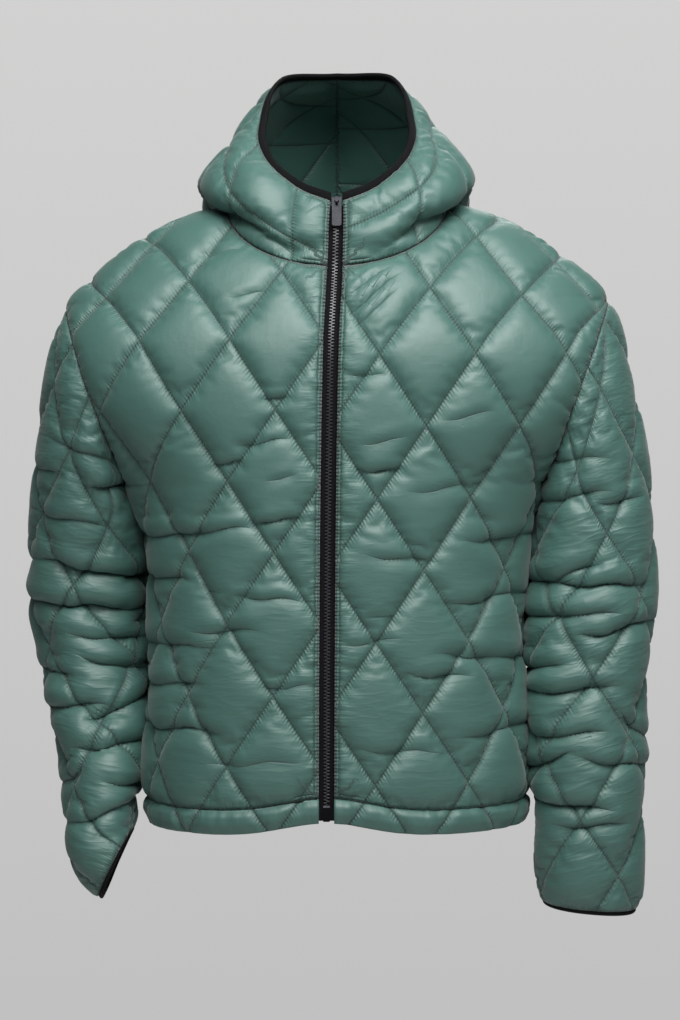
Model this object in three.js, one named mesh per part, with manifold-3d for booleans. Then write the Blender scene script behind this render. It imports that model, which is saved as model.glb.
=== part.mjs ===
// A hooded puffer coat, as it stands when it is worn: every panel is padded cloth, quilted in
// diamonds, and the coat is hollow, with nobody in it.
// Millimetres. The wearer faces -Y, the wearer's left is +X and up is +Z. The origin is the middle
// of the base of the neck, where the wearer's shoulders carry the coat.
import * as THREE from 'three';
import Module from 'manifold-3d';

const wasm = await Module();
wasm.setup();

// ---- cloth and quilting ----
const WALL = 3; // padded cloth squeezed flat under a line of stitches
const SEAM_GAP = 0.3; // between two pieces that are sewn together
const PUFF = 11; // height of the middle of a diamond over its stitch lines
const PUFF_ROUNDNESS = 0.55;
const DIAMOND_WIDTH = 95;
const DIAMOND_HEIGHT = 141;
const DIAMOND_STEPS = 4; // mesh steps along a diamond's side
const SEAM_FADE = 24; // the puff grows from nothing at a seam over this distance
const INNER_STEP_ACROSS = 30; // mesh steps of the plain inner wall
const INNER_STEP_UP = 35;
const EDGE_STEP = 14; // length of one mesh edge along a seam

// ---- body: sections from the hem to the top of the shoulders ----
// half width at the shoulder line, depth in front of it and behind it, squareness of the section
const BODY = [
  { z: -606, halfWidth: 191, front: 150, back: 148, power: 2.5 },
  { z: -580, halfWidth: 194, front: 152, back: 150, power: 2.5 },
  { z: -500, halfWidth: 189, front: 152, back: 149, power: 2.5 },
  { z: -420, halfWidth: 186, front: 151, back: 148, power: 2.5 },
  { z: -350, halfWidth: 188, front: 150, back: 148, power: 2.4 },
  { z: -300, halfWidth: 196, front: 150, back: 148, power: 2.4 },
  { z: -257, halfWidth: 213, front: 150, back: 148, power: 2.3 },
  { z: -167, halfWidth: 250, front: 149, back: 147, power: 2.2 },
  { z: -120, halfWidth: 265, front: 143, back: 144, power: 2.1 },
  { z: -78, halfWidth: 277, front: 128, back: 136, power: 2 },
  { z: -48, halfWidth: 248, front: 112, back: 126, power: 2 },
  { z: -32, halfWidth: 228, front: 101, back: 119, power: 2 },
  { z: -11, halfWidth: 202, front: 84, back: 107, power: 2 },
  { z: 1, halfWidth: 182, front: 73, back: 99, power: 2 },
  { z: 12, halfWidth: 155, front: 58, back: 89, power: 2 },
  { z: 24, halfWidth: 112, front: 34, back: 66, power: 2 },
  { z: 36, halfWidth: 62, front: 12, back: 24, power: 2 },
];
const HEM_SEAM_Z = -580;
const HEM_BOTTOM_Z = -604;
const HEM_LIFT = { rise: 14, spread: 60 }; // the zip holds the middle of the hem up
const ARMHOLE = { topX: 277, topZ: -78, pitX: 213, pitZ: -257, depth: 90 };
const NECK = { halfWidth: 112, sideZ: 24, frontZ: -42, backZ: 16 };
const FRONT_EDGE_X = 10.3; // each front ends this far from the middle of the zip
// The cloth drops over the shoulders, so the quilting drops with it.
const SHOULDER_DROP = { share: 0.25, width: 200, startZ: -110 };
const CHEST_EASE = 0.6; // share of the chest's slope that the quilting follows
// The zip leans to the wearer's right as it goes down.
const LEAN = { reach: 10.7, fall: 190, startZ: 33, depth: 140 };
const SHOULDER_TILT = { slope: 0.0125, startZ: -330, fullZ: -120 };

// ---- sleeves: sections from the armhole to the cuff ----
// outer and inner point of each section, seen from the front, then its middle and half depth in Y
const SLEEVE_LEFT = [
  { outerX: 277, outerZ: -78, innerX: 213, innerZ: -257, centreY: 0, depth: 90, power: 2 },
  { outerX: 289, outerZ: -115, innerX: 214.5, innerZ: -272, centreY: 1, depth: 88, power: 2.05 },
  { outerX: 299, outerZ: -160, innerX: 214, innerZ: -288, centreY: 0, depth: 86, power: 2.1 },
  { outerX: 308, outerZ: -205, innerX: 212, innerZ: -307, centreY: 0, depth: 84, power: 2.1 },
  { outerX: 316, outerZ: -255, innerX: 209, innerZ: -332, centreY: 0, depth: 83, power: 2.2 },
  { outerX: 321, outerZ: -310, innerX: 206, innerZ: -362, centreY: -2, depth: 81, power: 2.2 },
  { outerX: 323, outerZ: -370, innerX: 205, innerZ: -398, centreY: -4, depth: 79, power: 2.2 },
  { outerX: 318, outerZ: -430, innerX: 204, innerZ: -442, centreY: -8, depth: 76, power: 2.2 },
  { outerX: 311, outerZ: -490, innerX: 204, innerZ: -492, centreY: -12, depth: 74, power: 2.2 },
  { outerX: 313, outerZ: -545, innerX: 207, innerZ: -545, centreY: -17, depth: 71, power: 2.2 },
  { outerX: 310, outerZ: -600, innerX: 207, innerZ: -600, centreY: -21, depth: 66, power: 2.2 },
  { outerX: 309, outerZ: -650, innerX: 205, innerZ: -648, centreY: -24, depth: 60, power: 2.2 },
  { outerX: 308, outerZ: -694, innerX: 210, innerZ: -686, centreY: -26, depth: 53, power: 2.2 },
];
const SLEEVE_RIGHT = [
  { outerX: 277, outerZ: -78, innerX: 213, innerZ: -257, centreY: 0, depth: 90, power: 2 },
  { outerX: 287, outerZ: -115, innerX: 214.5, innerZ: -272, centreY: 2, depth: 88, power: 2.05 },
  { outerX: 296, outerZ: -160, innerX: 214, innerZ: -288, centreY: 6, depth: 86, power: 2.1 },
  { outerX: 304, outerZ: -210, innerX: 212, innerZ: -307, centreY: 13, depth: 84, power: 2.1 },
  { outerX: 310, outerZ: -270, innerX: 209, innerZ: -334, centreY: 23, depth: 84, power: 2.2 },
  { outerX: 315, outerZ: -330, innerX: 207, innerZ: -366, centreY: 34, depth: 83, power: 2.2 },
  { outerX: 317, outerZ: -385, innerX: 206, innerZ: -402, centreY: 40, depth: 82, power: 2.2 },
  { outerX: 305, outerZ: -435, innerX: 205, innerZ: -440, centreY: 38, depth: 80, power: 2.2 },
  { outerX: 297, outerZ: -490, innerX: 205, innerZ: -480, centreY: 26, depth: 78, power: 2.2 },
  { outerX: 281, outerZ: -545, innerX: 206, innerZ: -520, centreY: 10, depth: 74, power: 2.2 },
  { outerX: 276, outerZ: -595, innerX: 208, innerZ: -556, centreY: -6, depth: 67, power: 2.2 },
  { outerX: 271, outerZ: -642, innerX: 210, innerZ: -584, centreY: -20, depth: 59, power: 2.2 },
  { outerX: 243, outerZ: -681, innerX: 207, innerZ: -611, centreY: -34, depth: 52, power: 2.2 },
];

// ---- hood and collar: upright sections round the neck, from the zip to the middle of the back ----
// angle from straight ahead, then distance from the origin's upright line and height at each place
const HOOD = [
  {
    angle: 5, valleyR: 104, valleyZ: -24, rollR: 102, rollZ: -8,
    highR: 97, highZ: 9, edgeR: 93, edgeZ: 24,
  },
  {
    angle: 25, valleyR: 106, valleyZ: -26, rollR: 112, rollZ: -9,
    highR: 102, highZ: 17, edgeR: 90, edgeZ: 37,
  },
  {
    angle: 45, valleyR: 111, valleyZ: 3, rollR: 128, rollZ: 17,
    highR: 115, highZ: 44, edgeR: 92, edgeZ: 60,
  },
  {
    angle: 65, valleyR: 114, valleyZ: 15, rollR: 134, rollZ: 30,
    highR: 120, highZ: 62, edgeR: 87, edgeZ: 85,
  },
  {
    angle: 90, valleyR: 122, valleyZ: 34, rollR: 138, rollZ: 43,
    highR: 109, highZ: 86, edgeR: 79, edgeZ: 113,
  },
  {
    angle: 115, valleyR: 121, valleyZ: 30, rollR: 150, rollZ: 34,
    highR: 112, highZ: 100, edgeR: 80, edgeZ: 141,
  },
  {
    angle: 140, valleyR: 124, valleyZ: 23, rollR: 196, rollZ: 12,
    highR: 136, highZ: 116, edgeR: 86, edgeZ: 160,
  },
  {
    angle: 180, valleyR: 128, valleyZ: 18, rollR: 228, rollZ: -4,
    highR: 196, highZ: 124, edgeR: 90, edgeZ: 166,
  },
];
const HOOD_GRAIN = THREE.MathUtils.degToRad(22); // the hood's quilting is turned by its curved neck edge

// ---- where the quilting starts on each panel: one crossing of stitch lines ----
const QUILT_START = {
  front_left: { a: 48, b: 167, turn: 0 },
  front_right: { a: 53, b: 114, turn: 0 },
  back: { a: 0, b: 160, turn: 0 },
  sleeve_left: { a: -105, b: 72, turn: 0 },
  sleeve_right: { a: -12, b: 30, turn: 0 },
  hood_left: { a: -136, b: 42, turn: HOOD_GRAIN },
  hood_right: { a: -136, b: 42, turn: HOOD_GRAIN },
};

// ---- trims ----
const BINDING_WIDTH = 9.4;
const CUFF_BINDING_DROP = 5;
const TAPE = { inner: 3.5, outer: 15, top: -4.2, bottom: -5.2 };
const TAPE_TOP_CUT = 13; // the tapes stop this far under the top of the zip
const CHAIN = { halfWidth: 3.1, top: -3, bottom: -6.4 };
const BOX = { halfWidth: 3.2, length: 16, top: -2.2, bottom: -7.2 };
const SLIDER = { halfWidth: 4.8, length: 12.5, top: -1.1, bottom: -8.2, plate: 1.4, chainOverlap: 5 };
const BRIDGE = { halfWidth: 1.2, height: 4.2, length: 8.4, wall: 1.1 };
const PULL = { halfWidth: 4.7, length: 28, thickness: 1.6, slotHalfWidth: 2.4, slotLength: 8, bar: 1.6 };

// ---- colours ----
const SAGE = { color: 0x4f7a6c, roughness: 0.38, metalness: 0 };
const BLACK_ELASTIC = { color: 0x121315, roughness: 0.85, metalness: 0 };
const TAPE_BLACK = { color: 0x1b1a1f, roughness: 0.8, metalness: 0 };
const TEETH_BLACK = { color: 0x232227, roughness: 0.4, metalness: 0 };
const GUNMETAL = { color: 0x6d6d75, roughness: 0.35, metalness: 0.9 };

// ---- small tools ----
const clamp = THREE.MathUtils.clamp;
const lerp = THREE.MathUtils.lerp;
const smooth = (value, low, high) => THREE.MathUtils.smoothstep(value, low, high);
const mirrorX = (p, side) => new THREE.Vector3(p.x * side, p.y, p.z);

// The value of a table's column at a key, on a smooth curve through its rows.
function column(rows, key, name, at) {
  const last = rows.length - 1;
  const rising = rows[last][key] > rows[0][key];
  let i = 0;
  while (i < last - 1 && (rising ? at > rows[i + 1][key] : at < rows[i + 1][key])) i++;
  const slope = (j) => {
    const low = rows[Math.max(j - 1, 0)];
    const high = rows[Math.min(j + 1, last)];
    return (high[name] - low[name]) / (high[key] - low[key]);
  };
  const span = rows[i + 1][key] - rows[i][key];
  const t = clamp((at - rows[i][key]) / span, -0.5, 1.5);
  const t2 = t * t;
  const t3 = t2 * t;
  return (2 * t3 - 3 * t2 + 1) * rows[i][name] + (t3 - 2 * t2 + t) * span * slope(i)
    + (3 * t2 - 2 * t3) * rows[i + 1][name] + (t3 - t2) * span * slope(i + 1);
}

// The last small moves of the whole coat: the zip's lean and one shoulder higher than the other.
function settle(p) {
  const forward = clamp(-p.y / LEAN.depth, 0, 1) ** 2;
  const lean = LEAN.reach * (1 - Math.exp(-Math.max(LEAN.startZ - p.z, 0) / LEAN.fall));
  const tilt = SHOULDER_TILT.slope * smooth(p.z, SHOULDER_TILT.startZ, SHOULDER_TILT.fullZ);
  return new THREE.Vector3(p.x - lean * forward, p.y, p.z + tilt * p.x);
}

// ---- the body's surface ----
function armholeReach(z) {
  const middle = (ARMHOLE.topZ + ARMHOLE.pitZ) / 2;
  const half = (ARMHOLE.topZ - ARMHOLE.pitZ) / 2;
  return ARMHOLE.depth * Math.sqrt(Math.max(1 - ((z - middle) / half) ** 2, 0));
}

function armholeX(z) {
  const share = (z - ARMHOLE.pitZ) / (ARMHOLE.topZ - ARMHOLE.pitZ);
  return lerp(ARMHOLE.pitX, ARMHOLE.topX, share);
}

// The section at a height; within the armhole's heights it is as wide as makes it pass through
// the armhole's edge.
function section(z, side) {
  const depth = column(BODY, 'z', side < 0 ? 'front' : 'back', z);
  const power = column(BODY, 'z', 'power', z);
  let halfWidth = column(BODY, 'z', 'halfWidth', z);
  if (z > ARMHOLE.pitZ && z < ARMHOLE.topZ)
    halfWidth = armholeX(z) / (1 - (armholeReach(z) / depth) ** power) ** (1 / power);
  return { halfWidth, depth, power };
}

// Angle 0 is the middle of the front or back and 90 degrees is the shoulder line. side is -1 in
// front and 1 behind.
function bodyPoint(angle, z, side) {
  const { halfWidth, depth, power } = section(z, side);
  const across = Math.abs(Math.sin(angle) / halfWidth) ** power;
  const along = Math.abs(Math.cos(angle) / depth) ** power;
  const radius = (across + along) ** (-1 / power);
  return new THREE.Vector3(radius * Math.sin(angle), side * radius * Math.cos(angle), z);
}

function bodyNormal(p, side) {
  const inside = (x, y, z) => {
    const { halfWidth, depth, power } = section(z, side);
    return Math.abs(x / halfWidth) ** power + Math.abs(y / depth) ** power;
  };
  const h = 0.5;
  return new THREE.Vector3(
    inside(p.x + h, p.y, p.z) - inside(p.x - h, p.y, p.z),
    inside(p.x, p.y + h, p.z) - inside(p.x, p.y - h, p.z),
    inside(p.x, p.y, p.z + h) - inside(p.x, p.y, p.z - h),
  ).normalize();
}

const hemRise = (x, side) => (side < 0 ? HEM_LIFT.rise * Math.exp(-((x / HEM_LIFT.spread) ** 2)) : 0);

// ---- surfaces of cloth and the flat cloth that they are cut from ----
// Each has place(a, b): where a point of the flat cloth is in space, and the normal there. a runs
// across the cloth and b up it.
const ARC_STEPS = 60;
const CLIMB_STEP = 12;

class BodyCloth {
  constructor(side) {
    this.side = side;
    this.climb = BodyCloth.climbOf(side < 0 ? 'front' : 'back');
  }

  // Heights on the middle line, and how far up the flat cloth they are.
  static climbOf(depth) {
    const rows = [{ z: HEM_BOTTOM_Z, b: HEM_BOTTOM_Z - HEM_SEAM_Z }];
    while (rows[rows.length - 1].z < BODY[BODY.length - 1].z) {
      const { z, b } = rows[rows.length - 1];
      const slope = column(BODY, 'z', depth, z + CLIMB_STEP) - column(BODY, 'z', depth, z);
      rows.push({ z: z + CLIMB_STEP, b: b + Math.hypot(CLIMB_STEP, CHEST_EASE * slope) });
    }
    return rows;
  }

  // Share of its height over the chest that the cloth loses towards the shoulder.
  lost(a) {
    return SHOULDER_DROP.share * (a / SHOULDER_DROP.width) ** 2;
  }

  heightOf(a, b) {
    const z = column(this.climb, 'b', 'z', b);
    return z - this.lost(a) * Math.max(z - SHOULDER_DROP.startZ, 0);
  }

  rowOf(a, z) {
    const over = Math.max(z - SHOULDER_DROP.startZ, 0) / (1 - this.lost(a));
    return column(this.climb, 'z', 'b', Math.min(z, SHOULDER_DROP.startZ) + over);
  }

  arcTo(angle, z) {
    let sum = 0;
    let from = bodyPoint(0, z, this.side);
    const steps = Math.max(4, Math.ceil((ARC_STEPS * angle) / Math.PI));
    for (let i = 1; i <= steps; i++) {
      const to = bodyPoint((angle * i) / steps, z, this.side);
      sum += from.distanceTo(to);
      from = to;
    }
    return sum;
  }

  angleOf(a, z) {
    const reach = Math.abs(a);
    let sum = 0;
    let from = bodyPoint(0, z, this.side);
    const step = Math.PI / ARC_STEPS;
    for (let i = 0; i < ARC_STEPS; i++) {
      const to = bodyPoint(step * (i + 1), z, this.side);
      const piece = from.distanceTo(to);
      if (sum + piece >= reach) return Math.sign(a) * step * (i + (reach - sum) / piece);
      sum += piece;
      from = to;
    }
    return Math.sign(a) * Math.PI;
  }

  flat(angle, z) {
    const a = Math.sign(angle) * this.arcTo(Math.abs(angle), z);
    return new THREE.Vector2(a, this.rowOf(a, z));
  }

  place(a, b) {
    const z = this.heightOf(a, b);
    const point = bodyPoint(this.angleOf(a, z), z, this.side);
    return { point, normal: bodyNormal(point, this.side) };
  }
}

// Cloth given by a function of two numbers from 0 to 1. A table of arc lengths takes its points
// to the flat cloth and back.
const GRID_U = 64;
const GRID_V = 40;

class LoftedCloth {
  constructor(shape, zeroU, zeroV) {
    this.shape = shape;
    this.a = this.lengths((i, j) => shape(i / GRID_U, j / GRID_V), GRID_U, GRID_V, zeroU);
    const along = this.lengths((i, j) => shape(j / GRID_U, i / GRID_V), GRID_V, GRID_U, zeroV);
    this.b = Array.from({ length: GRID_U + 1 }, (_, i) => along.map((row) => row[i]));
  }

  // Arc lengths along the first index, zero at the share given.
  lengths(at, count, lines, zero) {
    const table = Array.from({ length: count + 1 }, () => new Array(lines + 1).fill(0));
    for (let j = 0; j <= lines; j++) {
      for (let i = 1; i <= count; i++) {
        table[i][j] = table[i - 1][j] + at(i, j).distanceTo(at(i - 1, j));
      }
      const start = table[Math.round(zero * count)][j];
      for (let i = 0; i <= count; i++) table[i][j] -= start;
    }
    return table;
  }

  read(table, u, v) {
    const x = clamp(u, 0, 1) * GRID_U;
    const y = clamp(v, 0, 1) * GRID_V;
    const i = Math.min(Math.floor(x), GRID_U - 1);
    const j = Math.min(Math.floor(y), GRID_V - 1);
    const low = lerp(table[i][j], table[i + 1][j], x - i);
    return lerp(low, lerp(table[i][j + 1], table[i + 1][j + 1], x - i), y - j);
  }

  flat(u, v) {
    return new THREE.Vector2(this.read(this.a, u, v), this.read(this.b, u, v));
  }

  // Walks to the shares whose flat point is (a, b).
  sharesOf(a, b) {
    let u = 0.5;
    let v = 0.5;
    const h = 0.01;
    for (let i = 0; i < 25; i++) {
      const here = this.flat(u, v);
      const du = this.flat(Math.min(u + h, 1), v).sub(this.flat(Math.max(u - h, 0), v));
      const dv = this.flat(u, Math.min(v + h, 1)).sub(this.flat(u, Math.max(v - h, 0)));
      du.divideScalar(Math.min(u + h, 1) - Math.max(u - h, 0));
      dv.divideScalar(Math.min(v + h, 1) - Math.max(v - h, 0));
      const missA = a - here.x;
      const missB = b - here.y;
      const size = du.x * dv.y - du.y * dv.x;
      u = clamp(u + (0.8 * (missA * dv.y - missB * dv.x)) / size, 0, 1);
      v = clamp(v + (0.8 * (missB * du.x - missA * du.y)) / size, 0, 1);
    }
    return [u, v];
  }

  normalAt(u, v) {
    const h = 0.004;
    const du = this.shape(Math.min(u + h, 1), v).sub(this.shape(Math.max(u - h, 0), v));
    const dv = this.shape(u, Math.min(v + h, 1)).sub(this.shape(u, Math.max(v - h, 0)));
    return du.cross(dv).normalize();
  }

  place(a, b) {
    const [u, v] = this.sharesOf(a, b);
    return { point: this.shape(u, v), normal: this.normalAt(u, v) };
  }
}

// ---- seams: places that two pieces share, {point, normal} ----
const seamAt = (point, ...normals) => ({
  point,
  normal: normals.reduce((sum, n) => sum.add(n), new THREE.Vector3()).normalize(),
});

const steps = (length) => Math.max(2, Math.round(length / EDGE_STEP));
const shares = (count) => Array.from({ length: count + 1 }, (_, i) => i / count);

// The neck's line on the body, from beside the zip to the middle of the back.
const NECK_STEPS = 120;
const neckLine = shares(NECK_STEPS).map((share) => {
  const turn = share * Math.PI;
  const side = turn <= Math.PI / 2 ? -1 : 1;
  const low = side < 0 ? NECK.frontZ : NECK.backZ;
  const x = Math.max(NECK.halfWidth * Math.sin(turn), side < 0 ? FRONT_EDGE_X : 0);
  const rise = 1 - Math.sqrt(Math.max(1 - (x / NECK.halfWidth) ** 2, 0));
  const z = low + (NECK.sideZ - low) * rise;
  const { halfWidth, depth, power } = section(z, side);
  const y = side * depth * Math.max(1 - (x / halfWidth) ** power, 0) ** (1 / power);
  return new THREE.Vector3(x, y, z);
});
const neckCurve = new THREE.CatmullRomCurve3(
  neckLine.filter((p, i) => i === 0 || p.distanceTo(neckLine[i - 1]) > 0.5),
);
neckCurve.arcLengthDivisions = 600;
const neckPoint = (u) => neckCurve.getPointAt(clamp(u, 0, 1));
const neckAngle = (p) => THREE.MathUtils.radToDeg(Math.atan2(p.x, -p.y));

// ---- hood: u runs from the zip to the middle of the back, v from the neck up to the binding ----
function hoodShape(u, v) {
  const foot = neckPoint(u);
  const degrees = neckAngle(foot);
  const turn = THREE.MathUtils.degToRad(degrees);
  const ring = (name) => {
    const radius = column(HOOD, 'angle', `${name}R`, degrees);
    const height = column(HOOD, 'angle', `${name}Z`, degrees);
    return new THREE.Vector3(radius * Math.sin(turn), -radius * Math.cos(turn), height);
  };
  const line = new THREE.CatmullRomCurve3(
    [foot, ring('valley'), ring('roll'), ring('high'), ring('edge')],
    false,
    'centripetal',
  );
  return line.getPoint(v);
}
const hoodCloth = new LoftedCloth(hoodShape, 0.5, 0);

// ---- sleeves: u runs round from the underarm seam, past the front, and v from cuff to armhole ----
function sleeveShape(rows, u, v) {
  const numbered = rows.map((row, i) => ({ ...row, i }));
  const at = (1 - v) * (rows.length - 1);
  const value = (name) => column(numbered, 'i', name, at);
  const outer = new THREE.Vector2(value('outerX'), value('outerZ'));
  const inner = new THREE.Vector2(value('innerX'), value('innerZ'));
  const half = outer.distanceTo(inner) / 2;
  const turn = (u - 0.5) * 2 * Math.PI;
  const power = value('power');
  const depth = value('depth');
  const across = Math.abs(Math.cos(turn) / half) ** power;
  const radius = (across + Math.abs(Math.sin(turn) / depth) ** power) ** (-1 / power);
  const share = 0.5 + (0.5 * radius * Math.cos(turn)) / half;
  return new THREE.Vector3(
    lerp(inner.x, outer.x, share),
    value('centreY') + radius * Math.sin(turn),
    lerp(inner.y, outer.y, share),
  );
}
const sleeveCloth = (rows) => new LoftedCloth((u, v) => sleeveShape(rows, u, v), 0.5, 0.5);
const sleeveLeft = sleeveCloth(SLEEVE_LEFT);
const sleeveRight = sleeveCloth(SLEEVE_RIGHT);
const bodyFront = new BodyCloth(-1);
const bodyBack = new BodyCloth(1);

// ---- shared seams of one half of the coat, wearer's left ----
const HALF_ARMHOLE = Math.PI * ARMHOLE.depth;
const armholeSteps = steps(HALF_ARMHOLE);

// turn is 0 at the shoulder, -PI to PI at the armpit, negative in front.
function armholeSeam(cloth, turn) {
  const u = 0.5 + turn / (2 * Math.PI);
  const point = cloth.shape(u, 1);
  const side = point.y < 0 ? -1 : 1;
  return seamAt(point, bodyNormal(point, side), cloth.normalAt(u, 1));
}

function halfSeams(cloth) {
  const turns = shares(armholeSteps).map((s) => (1 - s) * Math.PI);
  const armFront = turns.map((turn) => armholeSeam(cloth, -turn));
  const armBack = turns.map((turn) => armholeSeam(cloth, turn));
  armFront[0] = armBack[0];
  armFront[armholeSteps] = armBack[armholeSteps];
  const pit = armBack[0];
  const tip = armBack[armholeSteps];
  const onSide = (z) => {
    const point = bodyPoint(Math.PI / 2, z, 1);
    return seamAt(point, bodyNormal(point, 1));
  };
  const sideSteps = steps(ARMHOLE.pitZ - HEM_SEAM_Z);
  const side = shares(sideSteps).map((s) => onSide(lerp(HEM_SEAM_Z, ARMHOLE.pitZ, s)));
  side[sideSteps] = pit;
  const neckU = neckSideShare();
  const neckSeam = (u) => {
    const point = neckPoint(u);
    return seamAt(point, bodyNormal(point, u <= neckU ? -1 : 1), hoodCloth.normalAt(u, 0));
  };
  const frontSteps = steps(neckCurve.getLength() * neckU);
  const backSteps = steps(neckCurve.getLength() * (1 - neckU));
  const neckFront = shares(frontSteps).map((s) => ({ u: neckU * s, ...neckSeam(neckU * s) }));
  const neckBack = shares(backSteps).map((s) => lerp(neckU, 1, s)).map((u) => ({ u, ...neckSeam(u) }));
  neckBack[0] = neckFront[frontSteps];
  const ridgeSteps = steps(Math.hypot(ARMHOLE.topX - NECK.halfWidth, NECK.sideZ - ARMHOLE.topZ));
  const ridge = shares(ridgeSteps).map((s) => onSide(lerp(ARMHOLE.topZ, NECK.sideZ, s)));
  ridge[0] = tip;
  ridge[ridgeSteps] = neckFront[frontSteps];
  return { armFront, armBack, side, ridge, neckFront, neckBack };
}

// The share of the neck's line at which it crosses the shoulder line.
function neckSideShare() {
  let low = 0;
  let high = 1;
  for (let i = 0; i < 30; i++) {
    const middle = (low + high) / 2;
    if (neckPoint(middle).y < 0) low = middle;
    else high = middle;
  }
  return low;
}

// Hem seam from the side to the middle, on one side of the shoulder line.
function hemSeam(side) {
  const cloth = side < 0 ? bodyFront : bodyBack;
  const far = cloth.arcTo(Math.PI / 2, HEM_SEAM_Z);
  const near = side < 0 ? FRONT_EDGE_X : 0;
  const count = steps(far - near);
  return shares(count).map((s) => {
    const angle = cloth.angleOf(lerp(far, near, s), HEM_SEAM_Z);
    const flatX = bodyPoint(angle, HEM_SEAM_Z, side).x;
    const z = HEM_SEAM_Z + hemRise(flatX, side);
    const point = bodyPoint(s === 0 ? Math.PI / 2 : angle, z, side);
    if (s === 1) point.x = near;
    return { ...seamAt(point, bodyNormal(point, side)), angle: s === 0 ? Math.PI / 2 : angle };
  });
}

// ---- flat meshes ----
function insideOutline(outline, x, y) {
  let inside = false;
  for (let i = 0, j = outline.length - 1; i < outline.length; j = i++) {
    const p = outline[i];
    const q = outline[j];
    if (p.y > y !== q.y > y && x < ((q.x - p.x) * (y - p.y)) / (q.y - p.y) + p.x) inside = !inside;
  }
  return inside;
}

function distanceToOutline(outline, x, y) {
  let best = Infinity;
  for (let i = 0, j = outline.length - 1; i < outline.length; j = i++) {
    const dx = outline[i].x - outline[j].x;
    const dy = outline[i].y - outline[j].y;
    const along = clamp(((x - outline[j].x) * dx + (y - outline[j].y) * dy) / (dx * dx + dy * dy), 0, 1);
    best = Math.min(best, Math.hypot(x - outline[j].x - along * dx, y - outline[j].y - along * dy));
  }
  return best;
}

// Points in staggered rows inside an outline, clear of its edge.
function staggered(outline, start, across, up, turn, clear) {
  const cos = Math.cos(turn);
  const sin = Math.sin(turn);
  const reach = 1400;
  const points = [];
  for (let row = -Math.ceil(reach / up); row * up < reach; row++) {
    for (let i = -Math.ceil(reach / across); i * across < reach; i++) {
      const x = (i + (Math.abs(row) % 2) / 2) * across;
      const y = row * up;
      const a = start.a + x * cos - y * sin;
      const b = start.b + x * sin + y * cos;
      if (insideOutline(outline, a, b) && distanceToOutline(outline, a, b) > clear)
        points.push(new THREE.Vector2(a, b));
    }
  }
  return points;
}

// Delaunay triangles of the outline's points and the inner points, inside the outline.
function triangulate(outline, inner) {
  const points = [...outline, ...inner];
  const far = 1e5;
  const all = [...points, { x: -far, y: -far }, { x: far, y: -far }, { x: 0, y: far }];
  const circle = (tri) => {
    const [p, q, r] = tri.map((i) => all[i]);
    const d = 2 * (p.x * (q.y - r.y) + q.x * (r.y - p.y) + r.x * (p.y - q.y));
    const pp = p.x * p.x + p.y * p.y;
    const qq = q.x * q.x + q.y * q.y;
    const rr = r.x * r.x + r.y * r.y;
    const x = (pp * (q.y - r.y) + qq * (r.y - p.y) + rr * (p.y - q.y)) / d;
    const y = (pp * (r.x - q.x) + qq * (p.x - r.x) + rr * (q.x - p.x)) / d;
    return { tri, x, y, radius: Math.hypot(p.x - x, p.y - y) };
  };
  const count = points.length;
  let circles = [circle([count, count + 1, count + 2])];
  points.forEach((point, index) => {
    const hit = (c) => Math.hypot(point.x - c.x, point.y - c.y) < c.radius - 1e-7;
    const edges = new Map();
    for (const c of circles.filter(hit)) {
      for (let k = 0; k < 3; k++) {
        const from = c.tri[k];
        const to = c.tri[(k + 1) % 3];
        if (!edges.delete(`${to},${from}`)) edges.set(`${from},${to}`, [from, to]);
      }
    }
    circles = circles.filter((c) => !hit(c));
    for (const [from, to] of edges.values()) circles.push(circle([from, to, index]));
  });
  const kept = circles.map((c) => c.tri).filter((tri) => {
    if (tri.some((i) => i >= count)) return false;
    const [p, q, r] = tri.map((i) => all[i]);
    return insideOutline(outline, (p.x + q.x + r.x) / 3, (p.y + q.y + r.y) / 3);
  });
  const used = new Set(kept.flatMap((t) => [`${t[0]},${t[1]}`, `${t[1]},${t[2]}`, `${t[2]},${t[0]}`]));
  outline.forEach((p, i) => {
    if (!used.has(`${i},${(i + 1) % outline.length}`))
      throw new Error(`no edge ${i} at ${p.x.toFixed(1)}, ${p.y.toFixed(1)} of ${outline.length}`);
  });
  return kept;
}

// Height of the padding over the stitch lines, as a share of PUFF.
function quilt(start, a, b) {
  const x = a - start.a;
  const y = b - start.b;
  const across = (x * Math.cos(start.turn) + y * Math.sin(start.turn)) / DIAMOND_WIDTH;
  const up = (y * Math.cos(start.turn) - x * Math.sin(start.turn)) / DIAMOND_HEIGHT;
  const rise = Math.abs(Math.sin(Math.PI * (across + up)) * Math.sin(Math.PI * (across - up)));
  return rise ** PUFF_ROUNDNESS;
}

function meshOf(name, material, points, faces) {
  const geometry = new THREE.BufferGeometry();
  const flat = new Float32Array(points.flatMap((p) => [p.x, p.y, p.z]));
  geometry.setAttribute('position', new THREE.BufferAttribute(flat, 3));
  geometry.setIndex(faces.flat());
  geometry.computeVertexNormals();
  const mesh = new THREE.Mesh(geometry, new THREE.MeshStandardMaterial(material));
  mesh.name = name;
  return mesh;
}

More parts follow.
